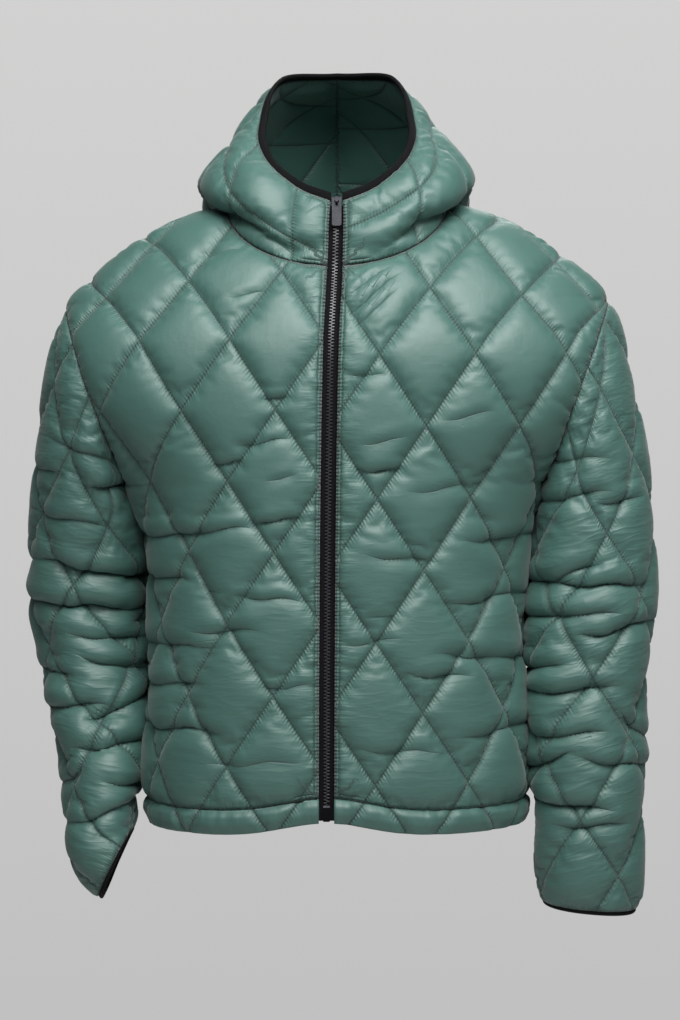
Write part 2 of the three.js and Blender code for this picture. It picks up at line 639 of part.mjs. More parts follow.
// A padded panel: a closed wall whose outer side is quilted and whose inner side is plain.
// outline is a ring of {point, normal, flat}, anticlockwise on the flat cloth seen from outside.
// side -1 mirrors the panel to the wearer's right. press is how much of the puff stays at a place.
function panel(name, cloth, outline, { side = 1, press = () => 1 } = {}) {
  const start = QUILT_START[name];
  const ring = outline.map((s) => s.flat);
  const across = DIAMOND_WIDTH / DIAMOND_STEPS;
  const up = DIAMOND_HEIGHT / DIAMOND_STEPS / 2;
  const outer = staggered(ring, start, across, up, start.turn, EDGE_STEP * 0.6);
  const inner = staggered(ring, start, INNER_STEP_ACROSS, INNER_STEP_UP, 0, EDGE_STEP * 0.9);
  const count = ring.length;
  const edge = outline.map((seam, i) => {
    const before = ring[(i + count - 1) % count];
    const after = ring[(i + 1) % count];
    const turnIn = (p, q) => new THREE.Vector2(p.y - q.y, q.x - p.x).normalize();
    const one = turnIn(before, ring[i]);
    const two = turnIn(ring[i], after);
    const mitre = one.clone().add(two).normalize();
    mitre.multiplyScalar(2 / Math.max(mitre.dot(one), 0.5));
    const within = ring[i].clone().add(mitre);
    const inward = cloth.place(within.x, within.y).point.sub(seam.point);
    inward.addScaledVector(seam.normal, -inward.dot(seam.normal));
    inward.setLength((SEAM_GAP / 2) * (mitre.length() / 2));
    return seam.point.clone().add(inward);
  });
  const puffed = outer.map((flat) => {
    const { point, normal } = cloth.place(flat.x, flat.y);
    const fade = smooth(distanceToOutline(ring, flat.x, flat.y), 0, SEAM_FADE);
    const height = PUFF * quilt(start, flat.x, flat.y) * fade * press(point);
    return point.addScaledVector(normal, height);
  });
  const plain = inner.map((flat) => {
    const { point, normal } = cloth.place(flat.x, flat.y);
    return point.addScaledVector(normal, -WALL);
  });
  const under = outline.map((seam, i) => edge[i].clone().addScaledVector(seam.normal, -WALL));
  const points = [...edge, ...puffed, ...under, ...plain];
  const below = count + puffed.length;
  const faces = triangulate(ring, outer);
  for (const [p, q, r] of triangulate(ring, inner)) faces.push([r + below, q + below, p + below]);
  for (let i = 0; i < count; i++) {
    const next = (i + 1) % count;
    faces.push([i, i + below, next + below], [i, next + below, next]);
  }
  const placed = points.map((p) => settle(mirrorX(p, side)));
  return meshOf(name, SAGE, placed, side < 0 ? faces.map(([p, q, r]) => [r, q, p]) : faces);
}

// Joins lists of seam places into one ring, dropping each repeated corner.
function ringOf(...runs) {
  return runs.flatMap((run) => run.slice(0, -1));
}

// ---- fronts and back ----
const angleAt = (p) => Math.atan2(p.x, Math.abs(p.y));

function frontPanel(name, seams, side) {
  const cloth = bodyFront;
  const withFlat = (seam) => ({ ...seam, flat: cloth.flat(angleAt(seam.point), seam.point.z) });
  const hem = hemSeam(-1).reverse();
  hem[hem.length - 1] = seams.side[0];
  const neck = [...seams.neckFront].reverse();
  const bottom = hem[0].point.z;
  const top = neck[neck.length - 1].point.z;
  const zipEdge = shares(steps(top - bottom)).map((s) => {
    const z = lerp(top, bottom, s);
    const { halfWidth, depth, power } = section(z, -1);
    const y = -depth * (1 - (FRONT_EDGE_X / halfWidth) ** power) ** (1 / power);
    const point = new THREE.Vector3(FRONT_EDGE_X, y, z);
    return seamAt(point, bodyNormal(point, -1));
  });
  zipEdge[0] = neck[neck.length - 1];
  zipEdge[zipEdge.length - 1] = hem[0];
  const ring = ringOf(hem, seams.side, seams.armFront, seams.ridge, neck, zipEdge).map(withFlat);
  return panel(name, cloth, ring, { side, press: bodyPress });
}

// The arms press the padding flat on the body's sides.
function bodyPress(p) {
  const sideways = Math.exp(-((p.y / 75) ** 2)) * smooth(-p.z, 120, 280);
  return 1 - 0.5 * sideways * smooth(Math.abs(p.x), 120, 175);
}

// The back is worked out on the wearer's left and mirrored, as one ring across the middle.
function backPanel(left, right) {
  const cloth = {
    place(a, b) {
      const { point, normal } = bodyBack.place(-a, b);
      return { point, normal };
    },
  };
  const withFlat = (side) => (seam) => {
    const flat = bodyBack.flat(angleAt(seam.point), seam.point.z);
    return {
      point: mirrorX(seam.point, side),
      normal: mirrorX(seam.normal, side),
      flat: new THREE.Vector2(-side * flat.x, flat.y),
    };
  };
  const half = (seams) => {
    const hem = hemSeam(1);
    hem[0] = seams.side[0];
    return { hem, rest: [...ringOf(seams.side, seams.armBack, seams.ridge), ...seams.neckBack] };
  };
  const wearerLeft = half(left);
  const wearerRight = half(right);
  // Seen from behind, the wearer's left is on the left of the flat cloth.
  const ring = [
    ...wearerLeft.hem.slice(0, -1).map(withFlat(1)),
    ...[...wearerRight.hem].reverse().slice(0, -1).map(withFlat(-1)),
    ...wearerRight.rest.slice(0, -1).map(withFlat(-1)),
    ...[...wearerLeft.rest].reverse().slice(0, -1).map(withFlat(1)),
  ];
  return panel('back', cloth, ring, { press: bodyPress });
}

// ---- sleeves ----
function sleevePanel(name, cloth, seams, side) {
  const length = cloth.flat(1, 0).y - cloth.flat(1, 1).y;
  const count = steps(Math.abs(length));
  const cuffLength = cloth.flat(1, 0).x - cloth.flat(0, 0).x;
  const cuff = shares(steps(cuffLength)).map((s) => {
    const u = shareAtArc(cloth, s);
    return { ...seamAt(cloth.shape(u, 0), cloth.normalAt(u, 0)), flat: cloth.flat(u, 0) };
  });
  const underarm = (u, v) => ({
    ...seamAt(cloth.shape(u, v), cloth.normalAt(0, v), cloth.normalAt(1, v)),
    flat: cloth.flat(u, v),
  });
  const back = shares(count).map((s) => underarm(1, s));
  const front = shares(count).map((s) => underarm(0, 1 - s));
  cuff[0] = front[count];
  const arch = [...seams.armBack.slice(0, -1), ...[...seams.armFront].reverse()];
  const arm = arch.map((seam, i) => {
    const turn = Math.PI - (i / (arch.length - 1)) * 2 * Math.PI;
    return { ...seam, flat: cloth.flat(0.5 + turn / (2 * Math.PI), 1) };
  });
  back[count] = arm[0];
  front[0] = arm[arm.length - 1];
  const ring = ringOf(cuff, back, arm, front);
  return panel(name, cloth, ring, { side, press: sleevePress });
}

// The share round the cuff whose arc length is a share of the whole.
function shareAtArc(cloth, share) {
  const start = cloth.flat(0, 0).x;
  const want = lerp(start, cloth.flat(1, 0).x, share);
  let low = 0;
  let high = 1;
  for (let i = 0; i < 30; i++) {
    const middle = (low + high) / 2;
    if (cloth.flat(middle, 0).x < want) low = middle;
    else high = middle;
  }
  return share === 0 || share === 1 ? share : low;
}

// The body presses the padding flat on the inside of each sleeve.
function sleevePress(p) {
  return 1 - 0.55 * (1 - smooth(p.x, 212, 238)) * smooth(-p.z, 200, 280);
}

// ---- hood ----
function hoodPanel(name, seams, side) {
  const cloth = hoodCloth;
  const place = (u, v) => ({
    ...seamAt(cloth.shape(u, v), cloth.normalAt(u, v)),
    flat: cloth.flat(u, v),
  });
  const neck = [...seams.neckFront.slice(0, -1), ...seams.neckBack].map((seam) => ({
    ...seam,
    flat: cloth.flat(seam.u, 0),
  }));
  const backLength = cloth.flat(1, 1).y - cloth.flat(1, 0).y;
  const edgeLength = cloth.flat(1, 1).x - cloth.flat(0, 1).x;
  const zipLength = cloth.flat(0, 1).y - cloth.flat(0, 0).y;
  const middle = shares(steps(backLength)).map((s) => {
    const seam = place(1, s);
    seam.normal.x = 0;
    seam.normal.normalize();
    seam.point.x = 0;
    return seam;
  });
  const edge = shares(steps(edgeLength)).map((s) => place(1 - s, 1));
  const zipEdge = shares(steps(zipLength)).map((s) => place(0, 1 - s));
  middle[0] = neck[neck.length - 1];
  edge[0] = middle[middle.length - 1];
  zipEdge[0] = edge[edge.length - 1];
  zipEdge[zipEdge.length - 1] = neck[0];
  return panel(name, cloth, ringOf(neck, middle, edge, zipEdge), { side });
}

// ---- strips swept along a line of frames {point, out, up} ----
function sweep(name, material, frames, profile, closed = false) {
  const points = frames.flatMap((frame) => profile.map(([out, up]) => settle(
    frame.point.clone().addScaledVector(frame.out, out).addScaledVector(frame.up, up),
  )));
  const size = profile.length;
  const faces = [];
  const last = closed ? frames.length : frames.length - 1;
  for (let i = 0; i < last; i++) {
    const here = i * size;
    const next = ((i + 1) % frames.length) * size;
    for (let j = 0; j < size; j++) {
      const k = (j + 1) % size;
      faces.push([here + j, here + k, next + k], [here + j, next + k, next + j]);
    }
  }
  if (!closed) {
    const outline = profile.map(([x, y]) => new THREE.Vector2(x, y));
    const backwards = THREE.ShapeUtils.isClockWise(outline);
    const end = (frames.length - 1) * size;
    for (const [p, q, r] of THREE.ShapeUtils.triangulateShape(outline, [])) {
      const [first, second] = backwards ? [r, p] : [p, r];
      faces.push([second, q, first], [first + end, q + end, second + end]);
    }
  }
  return meshOf(name, material, points, faces);
}

const mirrored = (frame) => ({
  point: mirrorX(frame.point, -1),
  out: mirrorX(frame.out, -1),
  up: mirrorX(frame.up, -1),
});

// A padded channel round the hem, open at the zip.
function hemBand() {
  const halfFrames = (side) => hemSeam(side).map((seam) => {
    const low = bodyPoint(seam.angle, seam.point.z - (HEM_SEAM_Z - HEM_BOTTOM_Z), side);
    const down = low.clone().sub(seam.point);
    return { point: seam.point, out: seam.normal, up: down.negate().normalize() };
  });
  const front = halfFrames(-1).reverse();
  const back = halfFrames(1);
  const wearerLeft = [...front.slice(0, -1), ...back];
  wearerLeft[0].point.x = FRONT_EDGE_X;
  const wearerRight = wearerLeft.slice(0, -1).map(mirrored).reverse();
  const height = HEM_SEAM_Z - HEM_BOTTOM_Z;
  const top = -SEAM_GAP / 2;
  const profile = [
    [0, top],
    [5.5, top - height * 0.25],
    [6.5, top - height * 0.6],
    [3, -height - 1],
    [-2, -height],
    [-WALL, -height * 0.6],
    [-WALL, top],
  ];
  return sweep('hem_band', SAGE, [...wearerLeft, ...wearerRight], profile);
}

// ---- bindings ----
function hoodBinding() {
  const cloth = hoodCloth;
  const count = steps(cloth.flat(1, 1).x - cloth.flat(0, 1).x);
  const frames = shares(count).map((s) => {
    const u = 1 - s;
    const point = cloth.shape(u, 1);
    const up = point.clone().sub(cloth.shape(u, 0.97)).normalize();
    const out = cloth.normalAt(u, 1);
    if (s === 0) for (const v of [point, up, out]) v.x = 0;
    return { point, out, up };
  });
  const end = frames[frames.length - 1];
  frames.push({ ...end, point: end.point.clone().setX(FRONT_EDGE_X - 4.4) });
  const profile = [
    [0.4, 0.3],
    [1.1, BINDING_WIDTH / 2],
    [0.4, BINDING_WIDTH - 1],
    [-1.5, BINDING_WIDTH],
    [-3.4, BINDING_WIDTH - 1],
    [-4.1, BINDING_WIDTH / 2],
    [-3.4, 0.3],
  ];
  const all = [...frames.slice(1).map(mirrored).reverse(), ...frames];
  return sweep('hood_binding', BLACK_ELASTIC, all, profile);
}

function cuffBinding(name, cloth, side) {
  const cuffLength = cloth.flat(1, 0).x - cloth.flat(0, 0).x;
  const count = steps(cuffLength);
  const frames = shares(count).slice(0, -1).map((s) => {
    const u = shareAtArc(cloth, s);
    const point = cloth.shape(u, 0);
    const out = u === 0
      ? seamAt(point, cloth.normalAt(0, 0), cloth.normalAt(1, 0)).normal
      : cloth.normalAt(u, 0);
    const up = cloth.shape(u, 0.03).sub(point).normalize();
    return side < 0 ? mirrored({ point, out, up }) : { point, out, up };
  });
  const profile = [
    [-1, -0.3],
    [-0.8, -CUFF_BINDING_DROP * 0.6],
    [-2.2, -CUFF_BINDING_DROP],
    [-3.8, -CUFF_BINDING_DROP * 0.6],
    [-3.6, -0.3],
  ];
  return sweep(name, BLACK_ELASTIC, frames, side < 0 ? [...profile].reverse() : profile, true);
}

// ---- zip ----
// The middle line of the zip, from the hem up to the top of the collar.
function zipCurve() {
  const body = [];
  const bottom = HEM_BOTTOM_Z + HEM_LIFT.rise;
  for (const z of [bottom, -520, -430, -340, -250, -180, -120, -80]) {
    body.push(new THREE.Vector3(0, -section(z, -1).depth, z));
  }
  const collar = [0, 0.35, 0.7, 1].map((v) => hoodCloth.shape(0, v).setX(0));
  const top = collar[3].clone().add(collar[3].clone().sub(collar[2]).setLength(BINDING_WIDTH));
  return new THREE.CatmullRomCurve3([...body, ...collar, top]);
}
const zipLine = zipCurve();
const zipLength = zipLine.getLength();

function zipFrame(distance) {
  const share = clamp(distance / zipLength, 0, 1);
  const up = zipLine.getTangentAt(share).setX(0).normalize();
  return { point: zipLine.getPointAt(share), out: new THREE.Vector3(0, -up.z, up.y), up };
}

const zipFrames = (from, to) => shares(steps(to - from)).map((s) => zipFrame(lerp(from, to, s)));

// A strip along the zip: a rectangle from left to right and from bottom to top.
function zipStrip(name, material, from, to, left, right, bottom, top) {
  const across = new THREE.Vector3(1, 0, 0);
  const frames = zipFrames(from, to).map(({ point, out }) => ({ point, out, up: across }));
  const profile = [[bottom, left], [top, left], [top, right], [bottom, right]];
  return sweep(name, material, frames, profile);
}

// A solid set on the zip at a distance from its foot: X across, Y out of the coat, Z up the zip.
function onZip(mesh, distance) {
  const { point, out, up } = zipFrame(distance);
  const across = new THREE.Vector3().crossVectors(out, up);
  const place = new THREE.Matrix4().makeBasis(across, out, up).setPosition(settle(point));
  mesh.applyMatrix4(place);
  return mesh;
}

function solidOf(geometry) {
  const source = geometry.index ? geometry.toNonIndexed() : geometry;
  const position = source.getAttribute('position');
  const seen = new Map();
  const points = [];
  const triangles = [];
  for (let i = 0; i < position.count; i++) {
    const corner = [position.getX(i), position.getY(i), position.getZ(i)];
    const key = corner.map((value) => value.toFixed(4)).join(' ');
    if (!seen.has(key)) {
      seen.set(key, points.length / 3);
      points.push(...corner);
    }
    triangles.push(seen.get(key));
  }
  return new wasm.Manifold(new wasm.Mesh({
    numProp: 3,
    vertProperties: new Float32Array(points),
    triVerts: new Uint32Array(triangles),
  }));
}

function meshFromSolid(name, material, solid) {
  const { vertProperties, triVerts } = solid.getMesh();
  const geometry = new THREE.BufferGeometry();
  geometry.setAttribute('position', new THREE.BufferAttribute(new Float32Array(vertProperties), 3));
  geometry.setIndex(new THREE.BufferAttribute(new Uint32Array(triVerts), 1));
  geometry.computeVertexNormals();
  const mesh = new THREE.Mesh(geometry, new THREE.MeshStandardMaterial(material));
  mesh.name = name;
  return mesh;
}

// A side view (out of the coat, up the zip) pushed out across the zip to both sides.
function pushedAcross(outline, halfWidth, holes = []) {
  const asShape = (list) => list.map(([out, up]) => new THREE.Vector2(out, up));
  const shape = new THREE.Shape(asShape(outline));
  shape.holes = holes.map((hole) => new THREE.Path(asShape(hole)));
  const geometry = new THREE.ExtrudeGeometry(shape, { depth: 2 * halfWidth, bevelEnabled: false });
  geometry.translate(0, 0, -halfWidth);
  const turn = new THREE.Matrix4().makeBasis(
    new THREE.Vector3(0, 1, 0),
    new THREE.Vector3(0, 0, 1),
    new THREE.Vector3(1, 0, 0),
  );
  return geometry.applyMatrix4(turn);
}

// Two plates, over and under the teeth, joined by a neck above the last tooth, and the bridge that
// holds the pull.
function zipSlider() {
  const { top, bottom, plate, length, chainOverlap } = SLIDER;
  const plates = [
    [bottom, -chainOverlap],
    [bottom + plate, -chainOverlap],
    [bottom + plate, 0.3],
    [top - plate, 0.3],
    [top - plate, -chainOverlap],
    [top, -chainOverlap],
    [top, length - chainOverlap - 1],
    [top - 1, length - chainOverlap],
    [bottom, length - chainOverlap],
  ];
  const low = pullHinge.up - BRIDGE.length / 2;
  const high = pullHinge.up + BRIDGE.length / 2;
  const crown = top + BRIDGE.height;
  const arch = [
    [top - 0.4, low],
    [crown - 1.2, low],
    [crown, low + 1.6],
    [crown, high - 1.6],
    [crown - 1.2, high],
    [top - 0.4, high],
  ];
  const wall = BRIDGE.wall;
  const opening = [
    [top + 0.02, low + wall],
    [crown - wall, low + wall],
    [crown - wall, high - wall],
    [top + 0.02, high - wall],
  ];
  const body = solidOf(pushedAcross(plates, SLIDER.halfWidth));
  const bridge = solidOf(pushedAcross(arch, BRIDGE.halfWidth, [opening]));
  return onZip(meshFromSolid('zip_slider', GUNMETAL, body.add(bridge)), chainTop);
}

// A plate with a slot near its top; the bar above the slot turns under the bridge.
function zipPull() {
  const { halfWidth, length, thickness, slotHalfWidth, slotLength, bar } = PULL;
  const low = -length + bar / 2;
  const plate = new THREE.Shape([
    new THREE.Vector2(-halfWidth, bar / 2),
    new THREE.Vector2(-halfWidth, low + 1.5),
    new THREE.Vector2(-halfWidth + 1.5, low),
    new THREE.Vector2(halfWidth - 1.5, low),
    new THREE.Vector2(halfWidth, low + 1.5),
    new THREE.Vector2(halfWidth, bar / 2),
  ]);
  plate.holes = [new THREE.Path([
    new THREE.Vector2(-slotHalfWidth, -bar / 2),
    new THREE.Vector2(slotHalfWidth, -bar / 2),
    new THREE.Vector2(slotHalfWidth, -slotLength - bar / 2),
    new THREE.Vector2(-slotHalfWidth, -slotLength - bar / 2),
  ])];
  const geometry = new THREE.ExtrudeGeometry(plate, { depth: thickness, bevelEnabled: false });
  geometry.translate(0, 0, -thickness / 2);
  const turn = new THREE.Matrix4().makeBasis(
    new THREE.Vector3(-1, 0, 0),
    new THREE.Vector3(0, 0, 1),
    new THREE.Vector3(0, 1, 0),
  );
  geometry.applyMatrix4(turn);
  geometry.translate(0, pullHinge.out, pullHinge.up);
  const mesh = meshFromSolid('zip_pull', GUNMETAL, solidOf(geometry));
  return onZip(mesh, chainTop);
}

// The pin and box that the two halves of the zip start from.
function zipBox() {
  const { halfWidth, length, top, bottom } = BOX;
  const side = [[bottom, 0], [top, 0], [top, length - 2], [top - 1, length], [bottom, length]];
  return onZip(meshFromSolid('zip_box', GUNMETAL, solidOf(pushedAcross(side, halfWidth))), 0.5);
}

const chainTop = zipLength - TAPE_TOP_CUT;
const pullHinge = { out: SLIDER.top + 1.4, up: 3.2 };
const tapeTop = zipLength - TAPE_TOP_CUT;
const chainFoot = BOX.length + 0.9;

// ---- the whole coat ----
const leftSeams = halfSeams(sleeveLeft);
const rightSeams = halfSeams(sleeveRight);
const coat = new THREE.Group();
coat.add(
  frontPanel('front_left', leftSeams, 1),
  frontPanel('front_right', rightSeams, -1),
  backPanel(leftSeams, rightSeams),
  sleevePanel('sleeve_left', sleeveLeft, leftSeams, 1),
  sleevePanel('sleeve_right', sleeveRight, rightSeams, -1),
  hoodPanel('hood_left', leftSeams, 1),
  hoodPanel('hood_right', rightSeams, -1),
  hemBand(),
  hoodBinding(),
  cuffBinding('cuff_binding_left', sleeveLeft, 1),
  cuffBinding('cuff_binding_right', sleeveRight, -1),
  zipStrip('zip_tape_left', TAPE_BLACK, 1, tapeTop, TAPE.inner, TAPE.outer, TAPE.bottom, TAPE.top),
  zipStrip('zip_tape_right', TAPE_BLACK, 1, tapeTop, -TAPE.outer, -TAPE.inner, TAPE.bottom, TAPE.top),
  zipStrip('zip_chain', TEETH_BLACK, chainFoot, chainTop, -CHAIN.halfWidth, CHAIN.halfWidth,
    CHAIN.bottom, CHAIN.top),
  zipSlider(),
  zipPull(),
  zipBox(),
);

export default coat;
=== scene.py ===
"""A worn puffer coat: quilted padded panels, hem channel, elastic bindings and front zip."""

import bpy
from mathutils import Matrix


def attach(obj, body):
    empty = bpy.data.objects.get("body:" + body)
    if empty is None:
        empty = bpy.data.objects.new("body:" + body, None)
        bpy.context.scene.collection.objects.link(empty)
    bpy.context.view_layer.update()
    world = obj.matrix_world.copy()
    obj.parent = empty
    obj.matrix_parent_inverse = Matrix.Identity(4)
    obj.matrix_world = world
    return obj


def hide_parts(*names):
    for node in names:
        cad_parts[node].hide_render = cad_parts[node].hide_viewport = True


bl_info = {
    "name": "Puffer Coat",
    "version": (1, 0, 0),
    "blender": (4, 5, 0),
    "location": "View3D > Sidebar > Coat",
    "description": "Makes a quilted hooded puffer coat with its zip, bindings and stitching",
    "category": "Add Mesh",
}

import math

import bmesh
import bpy
import numpy as np
from mathutils import Vector
from mathutils.bvhtree import BVHTree
from mathutils.kdtree import KDTree

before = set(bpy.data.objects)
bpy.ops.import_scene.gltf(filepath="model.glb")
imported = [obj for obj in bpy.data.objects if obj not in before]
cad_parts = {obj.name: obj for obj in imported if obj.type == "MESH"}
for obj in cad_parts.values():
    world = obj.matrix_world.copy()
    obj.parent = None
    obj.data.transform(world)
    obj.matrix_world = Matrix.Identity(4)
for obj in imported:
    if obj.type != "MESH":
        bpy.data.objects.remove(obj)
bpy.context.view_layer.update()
MM = 0.001

# ---- the coat's form, in millimetres, as the solids have it ----
WALL = 3
DIAMOND_WIDTH = 95
DIAMOND_HEIGHT = 141
HEM_SEAM_Z = -580
HEM_BOTTOM_Z = -604
HEM_LIFT = {"rise": 14, "spread": 60}
ARMHOLE = {"top_x": 277, "top_z": -78, "pit_x": 213, "pit_z": -257, "depth": 90}
NECK = {"half_width": 112, "side_z": 24, "front_z": -42, "back_z": 16}
FRONT_EDGE_X = 7.6
SHOULDER_DROP = {"share": 0.25, "width": 200, "start_z": -110}
CHEST_EASE = 0.6
LEAN = {"reach": 10.7, "fall": 190, "start_z": 33, "depth": 140}
SHOULDER_TILT = {"slope": 0.0125, "start_z": -330, "full_z": -120}
HOOD_GRAIN = math.radians(-35)
DIAMOND_SIDE = math.hypot(DIAMOND_WIDTH, DIAMOND_HEIGHT) / 2
LINE_GAP = DIAMOND_WIDTH * DIAMOND_HEIGHT / math.hypot(DIAMOND_WIDTH, DIAMOND_HEIGHT)


class Table:
    """Rows of named numbers, read along a smooth curve by the first column."""

    PAST = 0.5  # how far past its ends a table can be read, in rows

    def __init__(self, names, rows):
        names = names.split()
        self.columns = dict(zip(names, np.array(rows, float).T))
        self.key = self.columns[names[0]]

    def read(self, name, at):
        key = self.key
        value = self.columns[name]
        last = len(key) - 1
        slope = np.gradient(value, key)
        slope[1:-1] = (value[2:] - value[:-2]) / (key[2:] - key[:-2])
        i = np.searchsorted(key[1:last], at)
        span = key[i + 1] - key[i]
        t = np.clip((at - key[i]) / span, -self.PAST, 1 + self.PAST)
        t2 = t * t
        t3 = t2 * t
        low = (2 * t3 - 3 * t2 + 1) * value[i] + (t3 - 2 * t2 + t) * span * slope[i]
        high = (3 * t2 - 2 * t3) * value[i + 1] + (t3 - t2) * span * slope[i + 1]
        return low + high


BODY = Table("z half_width front back power", [
    (-606, 191, 150, 148, 2.5),
    (-580, 194, 152, 150, 2.5),
    (-500, 189, 152, 149, 2.5),
    (-420, 186, 151, 148, 2.5),
    (-350, 188, 150, 148, 2.4),
    (-300, 196, 150, 148, 2.4),
    (-257, 213, 150, 148, 2.3),
    (-167, 250, 149, 147, 2.2),
    (-120, 265, 143, 144, 2.1),
    (-78, 277, 128, 136, 2),
    (-48, 248, 112, 126, 2),
    (-32, 228, 101, 119, 2),
    (-11, 202, 84, 107, 2),
    (1, 182, 73, 99, 2),
    (12, 155, 58, 89, 2),
    (24, 112, 34, 66, 2),
    (36, 62, 12, 24, 2),
])
SLEEVE_COLUMNS = "row outer_x outer_z inner_x inner_z centre_y depth power"
SLEEVE_LEFT = Table(SLEEVE_COLUMNS, [
    (0, 277, -78, 213, -257, 0, 90, 2),
    (1, 289, -115, 214.5, -272, 1, 88, 2.05),
    (2, 299, -160, 214, -288, 0, 86, 2.1),
    (3, 308, -205, 212, -307, 0, 84, 2.1),
    (4, 316, -255, 209, -332, 0, 83, 2.2),
    (5, 321, -310, 206, -362, -2, 81, 2.2),
    (6, 323, -370, 205, -398, -4, 79, 2.2),
    (7, 318, -430, 204, -442, -8, 76, 2.2),
    (8, 311, -490, 204, -492, -12, 74, 2.2),
    (9, 313, -545, 207, -545, -17, 71, 2.2),
    (10, 310, -600, 207, -600, -21, 66, 2.2),
    (11, 309, -650, 205, -648, -24, 60, 2.2),
    (12, 308, -694, 210, -686, -26, 53, 2.2),
])
SLEEVE_RIGHT = Table(SLEEVE_COLUMNS, [
    (0, 277, -78, 213, -257, 0, 90, 2),
    (1, 287, -115, 214.5, -272, 2, 88, 2.05),
    (2, 296, -160, 214, -288, 6, 86, 2.1),
    (3, 304, -210, 212, -307, 13, 84, 2.1),
    (4, 310, -270, 209, -334, 23, 84, 2.2),
    (5, 315, -330, 207, -366, 34, 83, 2.2),
    (6, 317, -385, 206, -402, 40, 82, 2.2),
    (7, 305, -435, 205, -440, 38, 80, 2.2),
    (8, 297, -490, 205, -480, 26, 78, 2.2),
    (9, 281, -545, 206, -520, 10, 74, 2.2),
    (10, 276, -595, 208, -556, -6, 67, 2.2),
    (11, 271, -642, 210, -584, -20, 59, 2.2),
    (12, 243, -681, 207, -611, -34, 52, 2.2),
])
HOOD = Table("angle valley_r valley_z roll_r roll_z high_r high_z edge_r edge_z", [
    (5, 104, -24, 102, -8, 97, 9, 93, 24),
    (25, 106, -26, 112, -9, 102, 17, 90, 37),
    (45, 111, 3, 128, 17, 115, 44, 92, 60),
    (65, 114, 15, 134, 30, 120, 62, 87, 85),
    (90, 122, 34, 138, 43, 109, 86, 79, 113),
    (115, 121, 30, 150, 34, 112, 100, 80, 141),
    (140, 124, 23, 196, 12, 136, 116, 86, 160),
    (180, 128, 18, 228, -4, 196, 124, 90, 166),
])
# one crossing of stitch lines on each panel's flat cloth
QUILT_START = {
    "front_left": (48, 167, 0),
    "front_right": (53, 114, 0),
    "back": (0, 160, 0),
    "sleeve_left": (-105, 72, 0),
    "sleeve_right": (-12, 30, 0),
    "hood_left": (84, 68, HOOD_GRAIN),
    "hood_right": (37, 25, HOOD_GRAIN),
}


def points(x, y, z):
    return np.stack(np.broadcast_arrays(x, y, z), axis=-1).astype(float)


def unit(vectors):
    return vectors / np.linalg.norm(vectors, axis=-1, keepdims=True)


def smooth(value, low, high):
    t = np.clip((value - low) / (high - low), 0, 1)
    return t * t * (3 - 2 * t)


def arc_of(line):
    """Length along a polyline up to each of its points."""
    return np.append(0, np.linalg.norm(np.diff(line, axis=0), axis=-1).cumsum())


def length_of(line):
    return arc_of(line)[-1]


def at_length(line, length):
    """Places on a polyline at lengths along it."""
    arc = arc_of(line)
    return np.stack([np.interp(length, arc, column) for column in line.T], axis=-1)


def settle(p):
    """The zip's lean, and one shoulder higher than the other."""
    x, y, z = p[..., 0], p[..., 1], p[..., 2]
    forward = np.clip(-y / LEAN["depth"], 0, 1) ** 2
    lean = LEAN["reach"] * (1 - np.exp(-np.maximum(LEAN["start_z"] - z, 0) / LEAN["fall"]))
    tilt = SHOULDER_TILT["slope"] * smooth(z, SHOULDER_TILT["start_z"], SHOULDER_TILT["full_z"])
    return points(x - lean * forward, y, z + tilt * x)


# ---- the body's surface ----
def section(z, side):
    depth = BODY.read("front" if side < 0 else "back", z)
    power = BODY.read("power", z)
    half_width = BODY.read("half_width", z)
    middle = (ARMHOLE["top_z"] + ARMHOLE["pit_z"]) / 2
    half = (ARMHOLE["top_z"] - ARMHOLE["pit_z"]) / 2
    reach = ARMHOLE["depth"] * np.sqrt(np.maximum(1 - ((z - middle) / half) ** 2, 0))
    share = (z - ARMHOLE["pit_z"]) / (2 * half)
    edge_x = ARMHOLE["pit_x"] + (ARMHOLE["top_x"] - ARMHOLE["pit_x"]) * share
    narrowed = np.clip(1 - (reach / depth) ** power, 0.01, 1) ** (1 / power)
    within = np.abs(z - middle) < half
    return np.where(within, edge_x / narrowed, half_width), depth, power


def body_point(angle, z, side):
    half_width, depth, power = section(z, side)
    across = np.abs(np.sin(angle) / half_width) ** power
    along = np.abs(np.cos(angle) / depth) ** power
    radius = (across + along) ** (-1 / power)
    return points(radius * np.sin(angle), side * radius * np.cos(angle), z)


def body_normal(p, side):
    def inside(q):
        half_width, depth, power = section(q[..., 2], side)
        return np.abs(q[..., 0] / half_width) ** power + np.abs(q[..., 1] / depth) ** power

    step = np.eye(3) * 0.5
    return unit(np.stack([inside(p + s) - inside(p - s) for s in step], axis=-1))


